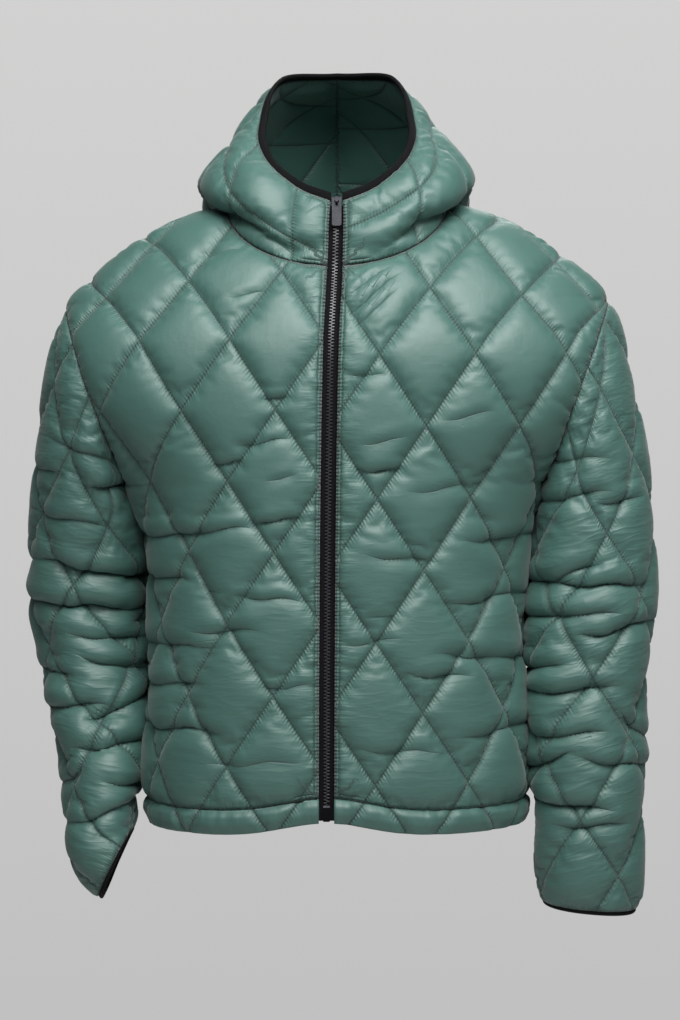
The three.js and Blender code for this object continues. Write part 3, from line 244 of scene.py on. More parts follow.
class BodyCloth:
    """Front or back: flat cloth, a across from the middle line and b up, against the worn form."""

    CLIMB = 12
    ROWS = 80
    ARCS = np.linspace(0, math.pi, 61)

    def __init__(self, side):
        self.side = side
        depth = "front" if side < 0 else "back"
        z = HEM_BOTTOM_Z + self.CLIMB * np.arange(self.ROWS)
        rise = CHEST_EASE * np.diff(BODY.read(depth, z))
        b = HEM_BOTTOM_Z - HEM_SEAM_Z + np.append(0, np.cumsum(np.hypot(self.CLIMB, rise)))
        self.up = Table("b z", list(zip(b, z)))
        self.down = Table("z b", list(zip(z, b)))

    def lost(self, a):
        return SHOULDER_DROP["share"] * (a / SHOULDER_DROP["width"]) ** 2

    def height_of(self, a, b):
        z = self.up.read("z", b)
        return z - self.lost(a) * np.maximum(z - SHOULDER_DROP["start_z"], 0)

    def row_of(self, a, z):
        start = SHOULDER_DROP["start_z"]
        over = np.maximum(z - start, 0) / (1 - self.lost(a))
        return self.down.read("b", np.minimum(z, start) + over)

    def arcs(self, z):
        ring = body_point(self.ARCS[None, :], np.asarray(z, float)[:, None], self.side)
        pieces = np.linalg.norm(np.diff(ring, axis=1), axis=-1)
        return np.concatenate([np.zeros((len(ring), 1)), np.cumsum(pieces, axis=1)], axis=1)

    def angle_of(self, a, z):
        table = self.arcs(z)
        reach = np.minimum(np.abs(a), table[:, -1] - 1e-6)
        i = np.clip((table <= reach[:, None]).sum(axis=1) - 1, 0, len(self.ARCS) - 2)
        row = np.arange(len(i))
        share = (reach - table[row, i]) / (table[row, i + 1] - table[row, i])
        return np.sign(a) * (i + share) * self.ARCS[1]

    def flat(self, p):
        """Flat place of points on the surface."""
        angle = np.arctan2(p[:, 0], np.abs(p[:, 1]))
        table = self.arcs(p[:, 2])
        at = np.clip(np.abs(angle) / self.ARCS[1], 0, len(self.ARCS) - 1.001)
        i = at.astype(int)
        row = np.arange(len(i))
        arc = table[row, i] + (at - i) * (table[row, i + 1] - table[row, i])
        a = np.sign(angle) * arc
        return np.stack([a, self.row_of(a, p[:, 2])], axis=-1)

    def place(self, flat):
        a, b = flat[:, 0], flat[:, 1]
        z = self.height_of(a, b)
        p = body_point(self.angle_of(a, z), z, self.side)
        return p, body_normal(p, self.side)


class BackCloth(BodyCloth):
    """The back, with a running across it as seen from behind."""

    def place(self, flat):
        return super().place(flat * (-1, 1))


class LoftedCloth:
    """Cloth on a form given by two shares, u across and v up, with arc lengths as flat places."""

    COUNT = (64, 40)
    STEP = 0.01
    NORMAL_STEP = 0.004
    TRIES = 25
    GAIN = 0.8

    def __init__(self, shape, zero_u, zero_v):
        self.shape = shape
        nu, nv = self.COUNT
        u, v = np.meshgrid(np.arange(nu + 1) / nu, np.arange(nv + 1) / nv, indexing="ij")
        grid = shape(u.ravel(), v.ravel()).reshape(nu + 1, nv + 1, 3)
        a = np.linalg.norm(np.diff(grid, axis=0), axis=-1).cumsum(axis=0)
        b = np.linalg.norm(np.diff(grid, axis=1), axis=-1).cumsum(axis=1)
        a = np.vstack([np.zeros((1, nv + 1)), a])
        b = np.hstack([np.zeros((nu + 1, 1)), b])
        self.a = a - a[round(zero_u * nu)]
        self.b = b - b[:, round(zero_v * nv)][:, None]
        self.tree = KDTree(self.a.size)
        for index, place in enumerate(zip(self.a.ravel(), self.b.ravel())):
            self.tree.insert((*place, 0), index)
        self.tree.balance()

    def flat(self, u, v):
        nu, nv = self.COUNT
        x = np.clip(u, 0, 1) * nu
        y = np.clip(v, 0, 1) * nv
        i = np.minimum(x.astype(int), nu - 1)
        j = np.minimum(y.astype(int), nv - 1)
        x = x - i
        y = y - j
        found = []
        for table in (self.a, self.b):
            low = table[i, j] * (1 - x) + table[i + 1, j] * x
            high = table[i, j + 1] * (1 - x) + table[i + 1, j + 1] * x
            found.append(low * (1 - y) + high * y)
        return np.stack(found, axis=-1)

    def shares_of(self, flat):
        """Shares at flat places, found from the nearest node of the tables."""
        nu, nv = self.COUNT
        near = np.array([self.tree.find((x, y, 0))[1] for x, y in flat])
        u, v = near // (nv + 1) / nu, near % (nv + 1) / nv
        h = self.STEP
        for _ in range(self.TRIES):
            miss = flat - self.flat(u, v)
            u_high, u_low = np.minimum(u + h, 1), np.maximum(u - h, 0)
            v_high, v_low = np.minimum(v + h, 1), np.maximum(v - h, 0)
            du = (self.flat(u_high, v) - self.flat(u_low, v)) / (u_high - u_low)[:, None]
            dv = (self.flat(u, v_high) - self.flat(u, v_low)) / (v_high - v_low)[:, None]
            size = du[:, 0] * dv[:, 1] - du[:, 1] * dv[:, 0]
            move_u = self.GAIN * (miss[:, 0] * dv[:, 1] - miss[:, 1] * dv[:, 0]) / size
            move_v = self.GAIN * (miss[:, 1] * du[:, 0] - miss[:, 0] * du[:, 1]) / size
            u = np.clip(u + move_u, 0, 1)
            v = np.clip(v + move_v, 0, 1)
        return u, v

    def normal(self, u, v):
        h = self.NORMAL_STEP
        du = self.shape(np.minimum(u + h, 1), v) - self.shape(np.maximum(u - h, 0), v)
        dv = self.shape(u, np.minimum(v + h, 1)) - self.shape(u, np.maximum(v - h, 0))
        return unit(np.cross(du, dv))

    def place(self, flat):
        u, v = self.shares_of(flat)
        return self.shape(u, v), self.normal(u, v)


# ---- neck, hood and sleeves ----
POINTS = {"neck": 121, "side": 80, "ridge": 60, "hem": 160, "zip_edge": 120, "loft": 160,
          "round": 300, "hood_edge": 400, "zip": 2000}
CLOSE = 0.5  # neighbours on the neck line that are nearer than this are one


def make_neck_line():
    turn = np.linspace(0, math.pi, POINTS["neck"])
    front = turn <= math.pi / 2
    low = np.where(front, NECK["front_z"], NECK["back_z"])
    x = np.maximum(NECK["half_width"] * np.sin(turn), np.where(front, FRONT_EDGE_X, 0))
    rise = 1 - np.sqrt(np.maximum(1 - (x / NECK["half_width"]) ** 2, 0))
    z = low + (NECK["side_z"] - low) * rise
    both = []
    for side in (-1, 1):
        half_width, depth, power = section(z, side)
        both.append(side * depth * np.maximum(1 - (x / half_width) ** power, 0) ** (1 / power))
    line = points(x, np.where(front, both[0], both[1]), z)
    apart = np.linalg.norm(np.diff(line, axis=0), axis=-1) > CLOSE
    return line[np.append(True, apart)]


NECK_LINE = make_neck_line()
NECK_ARC = arc_of(NECK_LINE)
NECK_SIDE = np.interp(0, NECK_LINE[:, 1], NECK_ARC / NECK_ARC[-1])


def neck_point(u):
    return at_length(NECK_LINE, np.clip(u, 0, 1) * NECK_ARC[-1])


def through_points(line, v):
    """A smooth curve through each row of points, read at v from 0 to 1."""
    first = 2 * line[:, :1] - line[:, 1:2]
    final = 2 * line[:, -1:] - line[:, -2:-1]
    line = np.concatenate([first, line, final], axis=1)
    spans = line.shape[1] - 3
    i = np.minimum((v * spans).astype(int), spans - 1)
    t = (v * spans - i)[:, None]
    row = np.arange(len(i))
    p0, p1, p2, p3 = (line[row, i + k] for k in range(4))
    d0, d1, d2 = (np.sqrt(np.linalg.norm(q - p, axis=-1, keepdims=True))
                  for p, q in ((p0, p1), (p1, p2), (p2, p3)))
    t1 = ((p1 - p0) / d0 - (p2 - p0) / (d0 + d1) + (p2 - p1) / d1) * d1
    t2 = ((p2 - p1) / d1 - (p3 - p1) / (d1 + d2) + (p3 - p2) / d2) * d1
    c2 = -3 * p1 + 3 * p2 - 2 * t1 - t2
    c3 = 2 * p1 - 2 * p2 + t1 + t2
    return ((c3 * t + c2) * t + t1) * t + p1


def hood_shape(u, v):
    foot = neck_point(u)
    turn = np.arctan2(foot[:, 0], -foot[:, 1])
    degrees = np.degrees(turn)
    rings = [foot]
    for name in ("valley", "roll", "high", "edge"):
        radius = HOOD.read(name + "_r", degrees)
        height = HOOD.read(name + "_z", degrees)
        rings.append(points(radius * np.sin(turn), -radius * np.cos(turn), height))
    return through_points(np.stack(rings, axis=1), v)


def sleeve_shape(rows, u, v):
    at = (1 - v) * (len(rows.key) - 1)
    outer = np.stack([rows.read("outer_x", at), rows.read("outer_z", at)], axis=-1)
    inner = np.stack([rows.read("inner_x", at), rows.read("inner_z", at)], axis=-1)
    half = np.linalg.norm(outer - inner, axis=-1) / 2
    turn = (u - 0.5) * 2 * math.pi
    power = rows.read("power", at)
    across = np.abs(np.cos(turn) / half) ** power
    along = np.abs(np.sin(turn) / rows.read("depth", at)) ** power
    radius = (across + along) ** (-1 / power)
    share = (0.5 + 0.5 * radius * np.cos(turn) / half)[:, None]
    middle = inner + (outer - inner) * share
    return points(middle[:, 0], rows.read("centre_y", at) + radius * np.sin(turn), middle[:, 1])


def sleeve_cloth(rows):
    return LoftedCloth(lambda u, v: sleeve_shape(rows, u, v), 0.5, 0.5)


FRONT = BodyCloth(-1)
BACK = BackCloth(1)
LEFT_SLEEVE = sleeve_cloth(SLEEVE_LEFT)
RIGHT_SLEEVE = sleeve_cloth(SLEEVE_RIGHT)
HOOD_CLOTH = LoftedCloth(hood_shape, 0, 0)

# share by which each cloth is cut larger than the lines that hold it
EASE = {"body": 0.055, "sleeve": 0.05, "hood": 0.045}
# folds where the bent sleeves and the waist crumple: x, z, slope, half length, depth, width, and
# whether they face the front (-1) or the back (1)
FOLDS = {
    "sleeve_left": [
        (237, -234, 0.05, 30, 3, 5, -1), (238, -271, 0.21, 30, 5, 5, -1),
        (282, -276, 0.05, 18, 5, 5, -1), (226, -350, 0.33, 34, 8, 6, -1),
        (262, -359, 0.0, 44, 9, 6, -1), (252, -388, 0.0, 28, 6, 5, -1),
        (208, -393, 0.0, 24, 7, 5, -1), (283, -404, 0.2, 34, 8, 6, -1),
        (208, -446, 0.19, 24, 7, 5, -1), (236, -465, 0.12, 36, 9, 6, -1),
        (300, -505, -1.2, 14, 6, 5, -1), (235, -510, 0.1, 30, 6, 5, -1),
        (214, -541, 0.55, 20, 8, 5, -1), (282, -540, -0.16, 34, 6, 5, -1),
        (237, -581, -0.11, 32, 9, 6, -1), (256, -602, 0.06, 30, 6, 5, -1),
        (250, -330, -0.2, 60, 7, 6, 1), (270, -390, 0.2, 60, 8, 6, 1),
        (244, -450, -0.1, 60, 8, 6, 1), (270, -515, 0.2, 60, 8, 6, 1),
        (250, -575, -0.2, 56, 7, 6, 1),
    ],
    "sleeve_right": [
        (-255, -226, -0.41, 28, 4, 5, -1), (-221, -258, 0.1, 24, 9, 6, -1),
        (-296, -244, -0.35, 14, 4, 5, -1), (-271, -294, -0.2, 36, 4, 5, -1),
        (-241, -347, -0.19, 54, 11, 6, -1), (-262, -382, -0.06, 58, 10, 6, -1),
        (-236, -417, -0.1, 34, 5, 5, -1), (-233, -444, -0.33, 26, 7, 5, -1),
        (-290, -452, -0.24, 16, 5, 5, -1), (-270, -484, 0.07, 30, 8, 6, -1),
        (-224, -486, 0.45, 26, 10, 6, -1), (-228, -524, 0.1, 36, 8, 6, -1),
        (-212, -563, -0.14, 20, 9, 5, -1), (-234, -590, 0.4, 36, 6, 5, -1),
        (-268, -556, 0.8, 10, 5, 5, -1),
        (-262, -330, 0.2, 60, 7, 6, 1), (-262, -390, -0.2, 60, 9, 6, 1),
        (-250, -445, 0.1, 60, 8, 6, 1), (-250, -505, -0.2, 56, 8, 6, 1),
        (-246, -560, 0.2, 50, 7, 6, 1),
    ],
    "front_left": [
        (160, -312, 0.1, 34, 4, 6, -1), (150, -372, 0.12, 36, 4, 6, -1),
        (146, -430, -0.1, 44, 5, 6, -1), (160, -505, 0.1, 40, 4, 6, -1),
        (62, -520, -0.06, 40, 3, 6, -1), (32, -60, 0.6, 18, 3, 3, -1),
        (36, -72, 0.75, 22, 4, 3.5, -1), (38, -86, 0.8, 18, 3, 3, -1),
        (45, -214, 0.1, 20, 3, 4, -1), (43, -243, -0.05, 18, 4, 4, -1),
        (100, -262, 0.1, 26, 3, 4, -1), (60, -330, -0.08, 28, 4, 4, -1),
        (34, -412, 0.1, 24, 3, 4, -1), (100, -446, -0.1, 30, 4, 5, -1),
        (128, -190, 0.15, 20, 3, 4, -1), (28, -150, -0.1, 14, 3, 3, -1),
    ],
    "front_right": [
        (-164, -308, 0.02, 34, 5, 6, -1), (-172, -351, -0.1, 22, 5, 5, -1),
        (-164, -418, 0.0, 40, 4, 6, -1), (-168, -458, 0.08, 28, 5, 5, -1),
        (-160, -501, 0.0, 40, 5, 6, -1), (-80, -532, 0.08, 44, 3, 6, -1),
        (-112, -30, 0.03, 24, 2, 4, -1), (-90, -72, 0.1, 16, 3, 3, -1),
        (-60, -173, -0.05, 13, 3, 3, -1), (-107, -236, 0.1, 12, 3, 3, -1),
        (-54, -251, 0.1, 12, 3, 3, -1), (-60, -292, 0.03, 20, 4, 4, -1),
        (-112, -302, 0.05, 26, 4, 4, -1), (-70, -216, 0.1, 22, 3, 4, -1),
        (-64, -370, -0.08, 28, 4, 4, -1), (-108, -402, 0.06, 30, 4, 5, -1),
        (-44, -456, 0.05, 26, 3, 4, -1),
    ],
    "back": [
        (60, -470, 0.12, 90, 4, 7, 1), (-70, -510, -0.1, 90, 5, 7, 1),
        (0, -420, 0.05, 110, 4, 8, 1),
    ],
}


# ---- panels' outlines on their flat cloth ----
def edge_start(side):
    return FRONT_EDGE_X if side < 0 else 0


def hem_line(side):
    """The hem's seam, from the middle to the side seam."""
    angle = np.linspace(0, math.pi / 2, POINTS["round"])
    x = body_point(angle, HEM_SEAM_Z, side)[:, 0]
    angle = np.linspace(np.interp(edge_start(side), x, angle), math.pi / 2, POINTS["hem"])
    x = body_point(angle, HEM_SEAM_Z, side)[:, 0]
    rise = HEM_LIFT["rise"] * np.exp(-((x / HEM_LIFT["spread"]) ** 2)) if side < 0 else 0
    return body_point(angle, HEM_SEAM_Z + rise, side)


def body_runs(side, sleeve):
    """The edges of one half of the front or back, anticlockwise from the middle of the hem."""
    z = np.linspace(HEM_SEAM_Z, ARMHOLE["pit_z"], POINTS["side"])
    side_seam = body_point(math.pi / 2, z, side)
    u = np.linspace(0 if side < 0 else 1, 0.5, POINTS["side"])
    armhole = sleeve.shape(u, np.ones(len(u)))
    z = np.linspace(ARMHOLE["top_z"], NECK["side_z"], POINTS["ridge"])
    ridge = body_point(math.pi / 2, z, side)
    u = np.linspace(NECK_SIDE, 0 if side < 0 else 1, POINTS["side"])
    runs = [hem_line(side), side_seam, armhole, ridge, neck_point(u)]
    if side < 0:
        z = np.linspace(runs[-1][-1, 2], runs[0][0, 2], POINTS["zip_edge"])
        half_width, depth, power = section(z, side)
        y = -depth * (1 - (FRONT_EDGE_X / half_width) ** power) ** (1 / power)
        runs.append(points(FRONT_EDGE_X, y, z))
    return runs


def front_runs(sleeve):
    return [FRONT.flat(run) for run in body_runs(-1, sleeve)]


def back_runs():
    half = [BACK.flat(run) for run in body_runs(1, LEFT_SLEEVE)]
    other = [(run * (-1, 1))[::-1] for run in reversed(half)]
    return half + other


def lofted_runs(cloth):
    share = np.linspace(0, 1, POINTS["loft"])
    none = np.zeros(len(share))
    full = np.ones(len(share))
    return [
        cloth.flat(share, none),
        cloth.flat(full, share),
        cloth.flat(1 - share, full),
        cloth.flat(none, 1 - share),
    ]


def inside(ring, flat):
    """Which flat places lie inside a ring."""
    x0, y0 = ring.T
    x1, y1 = np.roll(ring, -1, axis=0).T
    odd = np.zeros(len(flat), bool)
    for i in range(len(ring)):
        if y0[i] == y1[i]:
            continue
        crosses = (y0[i] > flat[:, 1]) != (y1[i] > flat[:, 1])
        at = x0[i] + (flat[:, 1] - y0[i]) * (x1[i] - x0[i]) / (y1[i] - y0[i])
        odd ^= crosses & (flat[:, 0] < at)
    return odd


def nearest_on(line, flat):
    """Nearest place on a polyline: its distance, and its length along the line."""
    arc = arc_of(line)
    best = np.full(len(flat), np.inf)
    along = np.zeros(len(flat))
    for i in range(len(line) - 1):
        step = line[i + 1] - line[i]
        share = np.clip((flat - line[i]) @ step / max(step @ step, 1e-12), 0, 1)
        gap = np.linalg.norm(flat - line[i] - share[:, None] * step, axis=-1)
        closer = gap < best
        best[closer] = gap[closer]
        along[closer] = (arc[i] + share * (arc[i + 1] - arc[i]))[closer]
    return best, along


# ---- quilting ----
def to_lattice(name, flat):
    """Flat places in diamonds, along the two families of stitch lines."""
    a, b, turn = QUILT_START[name]
    x = flat[:, 0] - a
    y = flat[:, 1] - b
    across = (x * math.cos(turn) + y * math.sin(turn)) / DIAMOND_WIDTH
    up = (y * math.cos(turn) - x * math.sin(turn)) / DIAMOND_HEIGHT
    return np.stack([across - up, across + up], axis=-1)


def from_lattice(name, lattice):
    a, b, turn = QUILT_START[name]
    x = (lattice[:, 0] + lattice[:, 1]) / 2 * DIAMOND_WIDTH
    y = (lattice[:, 1] - lattice[:, 0]) / 2 * DIAMOND_HEIGHT
    across = a + x * math.cos(turn) - y * math.sin(turn)
    return np.stack([across, b + x * math.sin(turn) + y * math.cos(turn)], axis=-1)


def coordinates(mesh):
    flat = np.empty(len(mesh.vertices) * 3)
    mesh.vertices.foreach_get("co", flat)
    return flat.reshape(-1, 3)


class Panel:
    """One quilted panel: its grid on the flat cloth, and where that cloth is worn."""

    EVENING = 12  # rounds that even out the places of the outline's vertices

    def __init__(self, name, cloth, runs, side=1, press=None, ease=EASE["body"], inner=0.5):
        self.name = name
        self.cloth = cloth
        self.runs = runs
        self.side = side
        self.press = press
        self.ease = ease
        self.inner = inner
        self.ring = np.concatenate([run[:-1] for run in runs])

    def cut(self, cells):
        """Cuts the grid to the outline and returns it as a bmesh of flat places."""
        lattice = to_lattice(self.name, self.ring)
        low = np.floor(lattice.min(axis=0) - 0.01)
        span = np.ceil(lattice.max(axis=0) + 0.01) - low
        bm = bmesh.new()
        count = (span * cells).astype(int)
        bmesh.ops.create_grid(bm, x_segments=int(count[0]), y_segments=int(count[1]), size=0.5)
        co = np.array([v.co[:2] for v in bm.verts])
        flat = from_lattice(self.name, low + (co + 0.5) * span)
        for v, place in zip(bm.verts, flat):
            v.co = (*place, 0)
        centres = np.array([f.calc_center_median()[:2] for f in bm.faces])
        kept = inside(self.ring, centres)
        outside = [f for f, keep in zip(bm.faces, kept) if not keep]
        bmesh.ops.delete(bm, geom=outside, context="FACES")
        while True:
            pinched = [v for v in bm.verts if sum(e.is_boundary for e in v.link_edges) > 2]
            if not pinched:
                break
            spare = list({f for v in pinched for f in v.link_faces})
            bmesh.ops.delete(bm, geom=spare, context="FACES")
        self.trim(bm)
        return bm

    def trim(self, bm):
        """Moves the grid's ragged edge onto the outline, corners first."""
        bm.verts.ensure_lookup_table()
        loop = edge_loop(bm)
        flat = np.array([v.co[:2] for v in loop])
        corners = [int(np.argmin(np.linalg.norm(flat - run[0], axis=-1))) for run in self.runs]
        first = corners[0]
        loop = loop[first:] + loop[:first]
        flat = np.roll(flat, -first, axis=0)
        corners = [(c - first) % len(loop) for c in corners] + [len(loop)]
        for run, start, stop in zip(self.runs, corners, corners[1:]):
            chain = flat[np.arange(start, stop + 1) % len(loop)]
            _, along = nearest_on(run, chain)
            along[0] = 0
            along[-1] = np.linalg.norm(np.diff(run, axis=0), axis=-1).sum()
            for _ in range(self.EVENING):
                along[1:-1] = along[1:-1] / 2 + (along[:-2] + along[2:]) / 4
            along = np.maximum.accumulate(along)
            for v, place in zip(loop[start:stop], at_length(run, along)):
                v.co = (*place, 0)

    def quilt(self, flat):
        """The padding's rise from 0 to 1, the gap to the nearest seam, and the length along it."""
        lattice = to_lattice(self.name, flat)
        rise = np.abs(np.sin(math.pi * lattice)).prod(axis=-1)
        closed = np.vstack([self.ring, self.ring[:1]])
        gap, along = nearest_on(closed, flat)
        return rise, gap, along

    def worn(self, flat):
        """Place and outward normal of flat places on the worn coat, still in millimetres."""
        p, n = self.cloth.place(flat)
        turn = (self.side, 1, 1)
        base = settle(p * turn)
        tip = settle((p + n) * turn)
        return base, unit(tip - base)


def edge_loop(bm):
    """The vertices of the longest open edge in order, anticlockwise."""
    waiting = {e for e in bm.edges if e.is_boundary}
    loops = []
    while waiting:
        start = waiting.pop()
        corner = start.link_loops[0]
        loop = [corner.vert]
        v = corner.link_loop_next.vert
        while v != loop[0]:
            loop.append(v)
            edge = next(e for e in v.link_edges if e in waiting)
            waiting.remove(edge)
            v = edge.other_vert(v)
        loops.append(loop)
    return max(loops, key=len)


# ---- padding ----
SEAM_FADE = 24  # reach of a seam's pull on the padding
FULLNESS = {"power": 0.55, "start": 0.6}
RIPPLE = {"waves": 14, "least": 0.6, "most": 1.6, "length": 16, "height": 0.5}
ARM_PRESS = {"share": 0.5, "depth": 75, "x": (120, 175), "down": (120, 280)}
BODY_PRESS = {"share": 0.55, "x": (212, 238), "down": (200, 280)}
# a fold's shape, in its own widths above (+) and below (-) its crease: how it opens, and its two
# lips as place, spread and height
FOLD_WAVER = {"height": 1.8, "length": 9}
FOLD_VALLEY = {"above": 0.7, "below": 1.7}
FOLD_LIPS = {"height": 0.38, "above": (2, 1.6, 1), "below": (-3, 3, 0.5)}
FOLD_DROP = {"height": 0.5, "above": 0.9}
FOLD_SIDE = (-30, 20)  # where a fold fades, from the far side to its own
CREASE_LINE = {"near": 3, "far": 8, "full_depth": 9}
SWELL = {"down": (220, 290), "up": (-610, -550), "sleeve": 10, "sleeve_x": (208, 250),
         "body": 3, "body_x": (150, 185)}
# the simulated cloth; its mass is for a grid with cells of CELL_WIDTH
CLOTH = {
    "quality": 5, "tension_stiffness": 20, "compression_stiffness": 20, "shear_stiffness": 8,
    "bending_stiffness": 0.06, "air_damping": 1, "use_pressure": True,
}
CELL_WIDTH = 8
CELL_MASS = 0.1
MOST_SLIDE = 4  # along the cloth, when it is filled
MOST_SINK = 1  # below the lines that hold it
ON_LINE = 0.2  # share of a cell within which a vertex is on a stitch line


def arm_side_press(p):
    """The arms press the padding flat on the body's sides."""
    sideways = np.exp(-((p[:, 1] / ARM_PRESS["depth"]) ** 2)) * smooth(-p[:, 2], *ARM_PRESS["down"])
    return 1 - ARM_PRESS["share"] * sideways * smooth(np.abs(p[:, 0]), *ARM_PRESS["x"])


def body_side_press(p):
    """The body presses the padding flat on the inside of each sleeve."""
    inner = 1 - smooth(np.abs(p[:, 0]), *BODY_PRESS["x"])
    return 1 - BODY_PRESS["share"] * inner * smooth(-p[:, 2], *BODY_PRESS["down"])


def set_coordinates(mesh, co):
    mesh.vertices.foreach_set("co", np.ascontiguousarray(co, dtype=np.float32).ravel())
    mesh.update()


def new_object(name, mesh):
    obj = bpy.data.objects.new(name, mesh)
    bpy.context.scene.collection.objects.link(obj)
    return obj


def mesh_from(bm, name):
    mesh = bpy.data.meshes.new(name)
    bm.to_mesh(mesh)
    bm.free()
    return mesh


def add_uv(mesh, name, places):
    """A UV map that gives each vertex its place."""
    layer = mesh.uv_layers.new(name=name)
    index = np.empty(len(mesh.loops), dtype=np.int32)
    mesh.loops.foreach_get("vertex_index", index)
    layer.data.foreach_set("uv", places[index].astype(np.float32).ravel())


def ripple(flat, length, seed):
    """Small uneven waves over the flat cloth, the same on each run."""
    waves = np.random.default_rng(seed)
    total = np.zeros(len(flat))
    for _ in range(RIPPLE["waves"]):
        turn = waves.uniform(0, 2 * math.pi)
        size = waves.uniform(RIPPLE["least"], RIPPLE["most"]) * 2 * math.pi / length
        along = flat @ np.array([math.cos(turn), math.sin(turn)])
        total += np.sin(along * size + waves.uniform(0, 2 * math.pi))
    return total / math.sqrt(RIPPLE["waves"])


def swell(panel):
    """How far the sleeves' inner sides and the body's sides swell towards each other."""
    x, z = np.abs(panel.base[:, 0]), panel.base[:, 2]
    low = smooth(-z, *SWELL["down"]) * smooth(z, *SWELL["up"])
    if panel.name.startswith("sleeve"):
        return SWELL["sleeve"] * (1 - smooth(x, *SWELL["sleeve_x"])) * low
    if panel.name.startswith("hood"):
        return 0 * low
    return SWELL["body"] * smooth(x, *SWELL["body_x"]) * low


def lip(off, place, spread, height):
    """One lip of a fold, at distances from its crease."""
    return height * np.exp(-((off - place) ** 2) / spread)


def crumple(panel):
    """Presses the panel's folds in: the cloth above each hangs over its sharp crease."""
    p, loose = panel.base, smooth(panel.gap, 0, SEAM_FADE / 2)
    x, y, z = p.T
    inwards = np.zeros(len(p))
    drop = np.zeros(len(p))
    panel.crease = np.zeros((len(p), 2))
    for at_x, at_z, slope, half, depth, width, facing in FOLDS.get(panel.name, []):
        waver = FOLD_WAVER["height"] * np.sin((x - at_x) / FOLD_WAVER["length"])
        apart = z - at_z - slope * (x - at_x) - waver
        off = apart / width
        window = np.exp(-(((x - at_x) / half) ** 4)) * smooth(y * facing, *FOLD_SIDE)
        opening = np.where(off > 0, FOLD_VALLEY["above"], FOLD_VALLEY["below"])
        lips = lip(off, *FOLD_LIPS["above"]) + lip(off, *FOLD_LIPS["below"])
        valley = np.exp(-np.abs(off) / opening)
        inwards += window * depth * (valley - FOLD_LIPS["height"] * lips)
        drop += window * depth * lip(off, FOLD_DROP["above"], 1, FOLD_DROP["height"])
        near = 1 - smooth(np.abs(apart), CREASE_LINE["near"], CREASE_LINE["far"])
        share = window * near * min(depth / CREASE_LINE["full_depth"], 1)
        stronger = share > panel.crease[:, 1]
        panel.crease[stronger] = np.stack([apart * MM, share], axis=-1)[stronger]
    inwards -= swell(panel)
    moved = p - panel.normal * (inwards * loose)[:, None]
    moved[:, 2] -= drop * loose
    return moved


def start_outer(panel, sizes):
    """The panel's outer cloth as it is before it is filled."""
    bm = panel.cut(sizes.cells)
    if panel.side < 0:
        bmesh.ops.reverse_faces(bm, faces=bm.faces[:])
    bm.verts.index_update()
    panel.edge = np.array([v.is_boundary for v in bm.verts])
    panel.sides = np.array([[v.index for v in e.verts] for e in bm.edges if not e.is_boundary])
    mesh = mesh_from(bm, panel.name)
    panel.flat = coordinates(mesh)[:, :2]
    panel.lattice = to_lattice(panel.name, panel.flat)
    off_line = np.abs(panel.lattice - np.round(panel.lattice))
    panel.on_line = off_line < ON_LINE / sizes.cells
    panel.held = panel.edge | panel.on_line.any(axis=-1)
    panel.base, panel.normal = panel.worn(panel.flat)
    rise, panel.gap, panel.along = panel.quilt(panel.flat)
    panel.base = crumple(panel)
    press = panel.press(panel.base) if panel.press else 1
    panel.fullness = rise ** FULLNESS["power"] * smooth(panel.gap, 0, SEAM_FADE) * press
    uneven = ripple(panel.flat, RIPPLE["length"], len(panel.name) + panel.side)
    filled = panel.fullness * sizes.puff / MM * FULLNESS["start"] + uneven * RIPPLE["height"] * rise
    set_coordinates(mesh, (panel.base + panel.normal * filled[:, None]) * MM)
    panel.obj = new_object(panel.name + "_shell", mesh)


def fill_panels(panels, sizes):
    """Fills the panels with down: each is cut larger than the lines that hold it."""
    scene = bpy.context.scene
    for panel in panels:
        obj = panel.obj
        held = obj.vertex_groups.new(name="held")
        held.add(np.flatnonzero(panel.held).tolist(), 1, "REPLACE")
        cloth = obj.modifiers.new("filling", "CLOTH")
        for name, value in CLOTH.items():
            setattr(cloth.settings, name, value)
        cloth.settings.mass = CELL_MASS * (DIAMOND_WIDTH / sizes.cells / CELL_WIDTH) ** 2
        cloth.settings.uniform_pressure_force = sizes.pressure
        cloth.settings.vertex_group_mass = "held"
        cloth.settings.shrink_min = -panel.ease
        cloth.settings.effector_weights.gravity = 0
        cloth.collision_settings.use_collision = False
        cloth.point_cache.frame_start = 1
        cloth.point_cache.frame_end = sizes.frames
    for number in range(1, sizes.frames + 1):
        scene.frame_set(number)
    graph = bpy.context.evaluated_depsgraph_get()
    for panel in panels:
        filled = coordinates(panel.obj.evaluated_get(graph).data)
        panel.obj.modifiers.clear()
        panel.obj.vertex_groups.clear()
        move = filled / MM - panel.base
        height = (move * panel.normal).sum(axis=-1)
        slide = move - panel.normal * height[:, None]
        far = np.linalg.norm(slide, axis=-1, keepdims=True)
        slide *= np.minimum(MOST_SLIDE / np.maximum(far, 0.001), 1)
        cap = sizes.cap / MM
        sunk = np.maximum(height, -MOST_SINK)
        height = np.where(height > 0, cap * np.tanh(height / cap), sunk)
        place = panel.base + slide + panel.normal * height[:, None]
        set_coordinates(panel.obj.data, place * MM)
    scene.frame_set(1)


BESIDE_ZIP = (20, 30)  # where the zip's pull on the cloth fades
UPRIGHT = {"share": 0.45, "z": (-420, -200)}
LOOSE = {"share": 0.35, "z": (-450, -250)}


def beside_zip(panel):
    """1 near the zip's edge of a front or hood panel, 0 elsewhere."""
    if not panel.name.startswith(("front", "hood")):
        return np.zeros(len(panel.flat))
    gap, _ = nearest_on(panel.runs[-1], panel.flat)
    return 1 - smooth(gap, *BESIDE_ZIP)


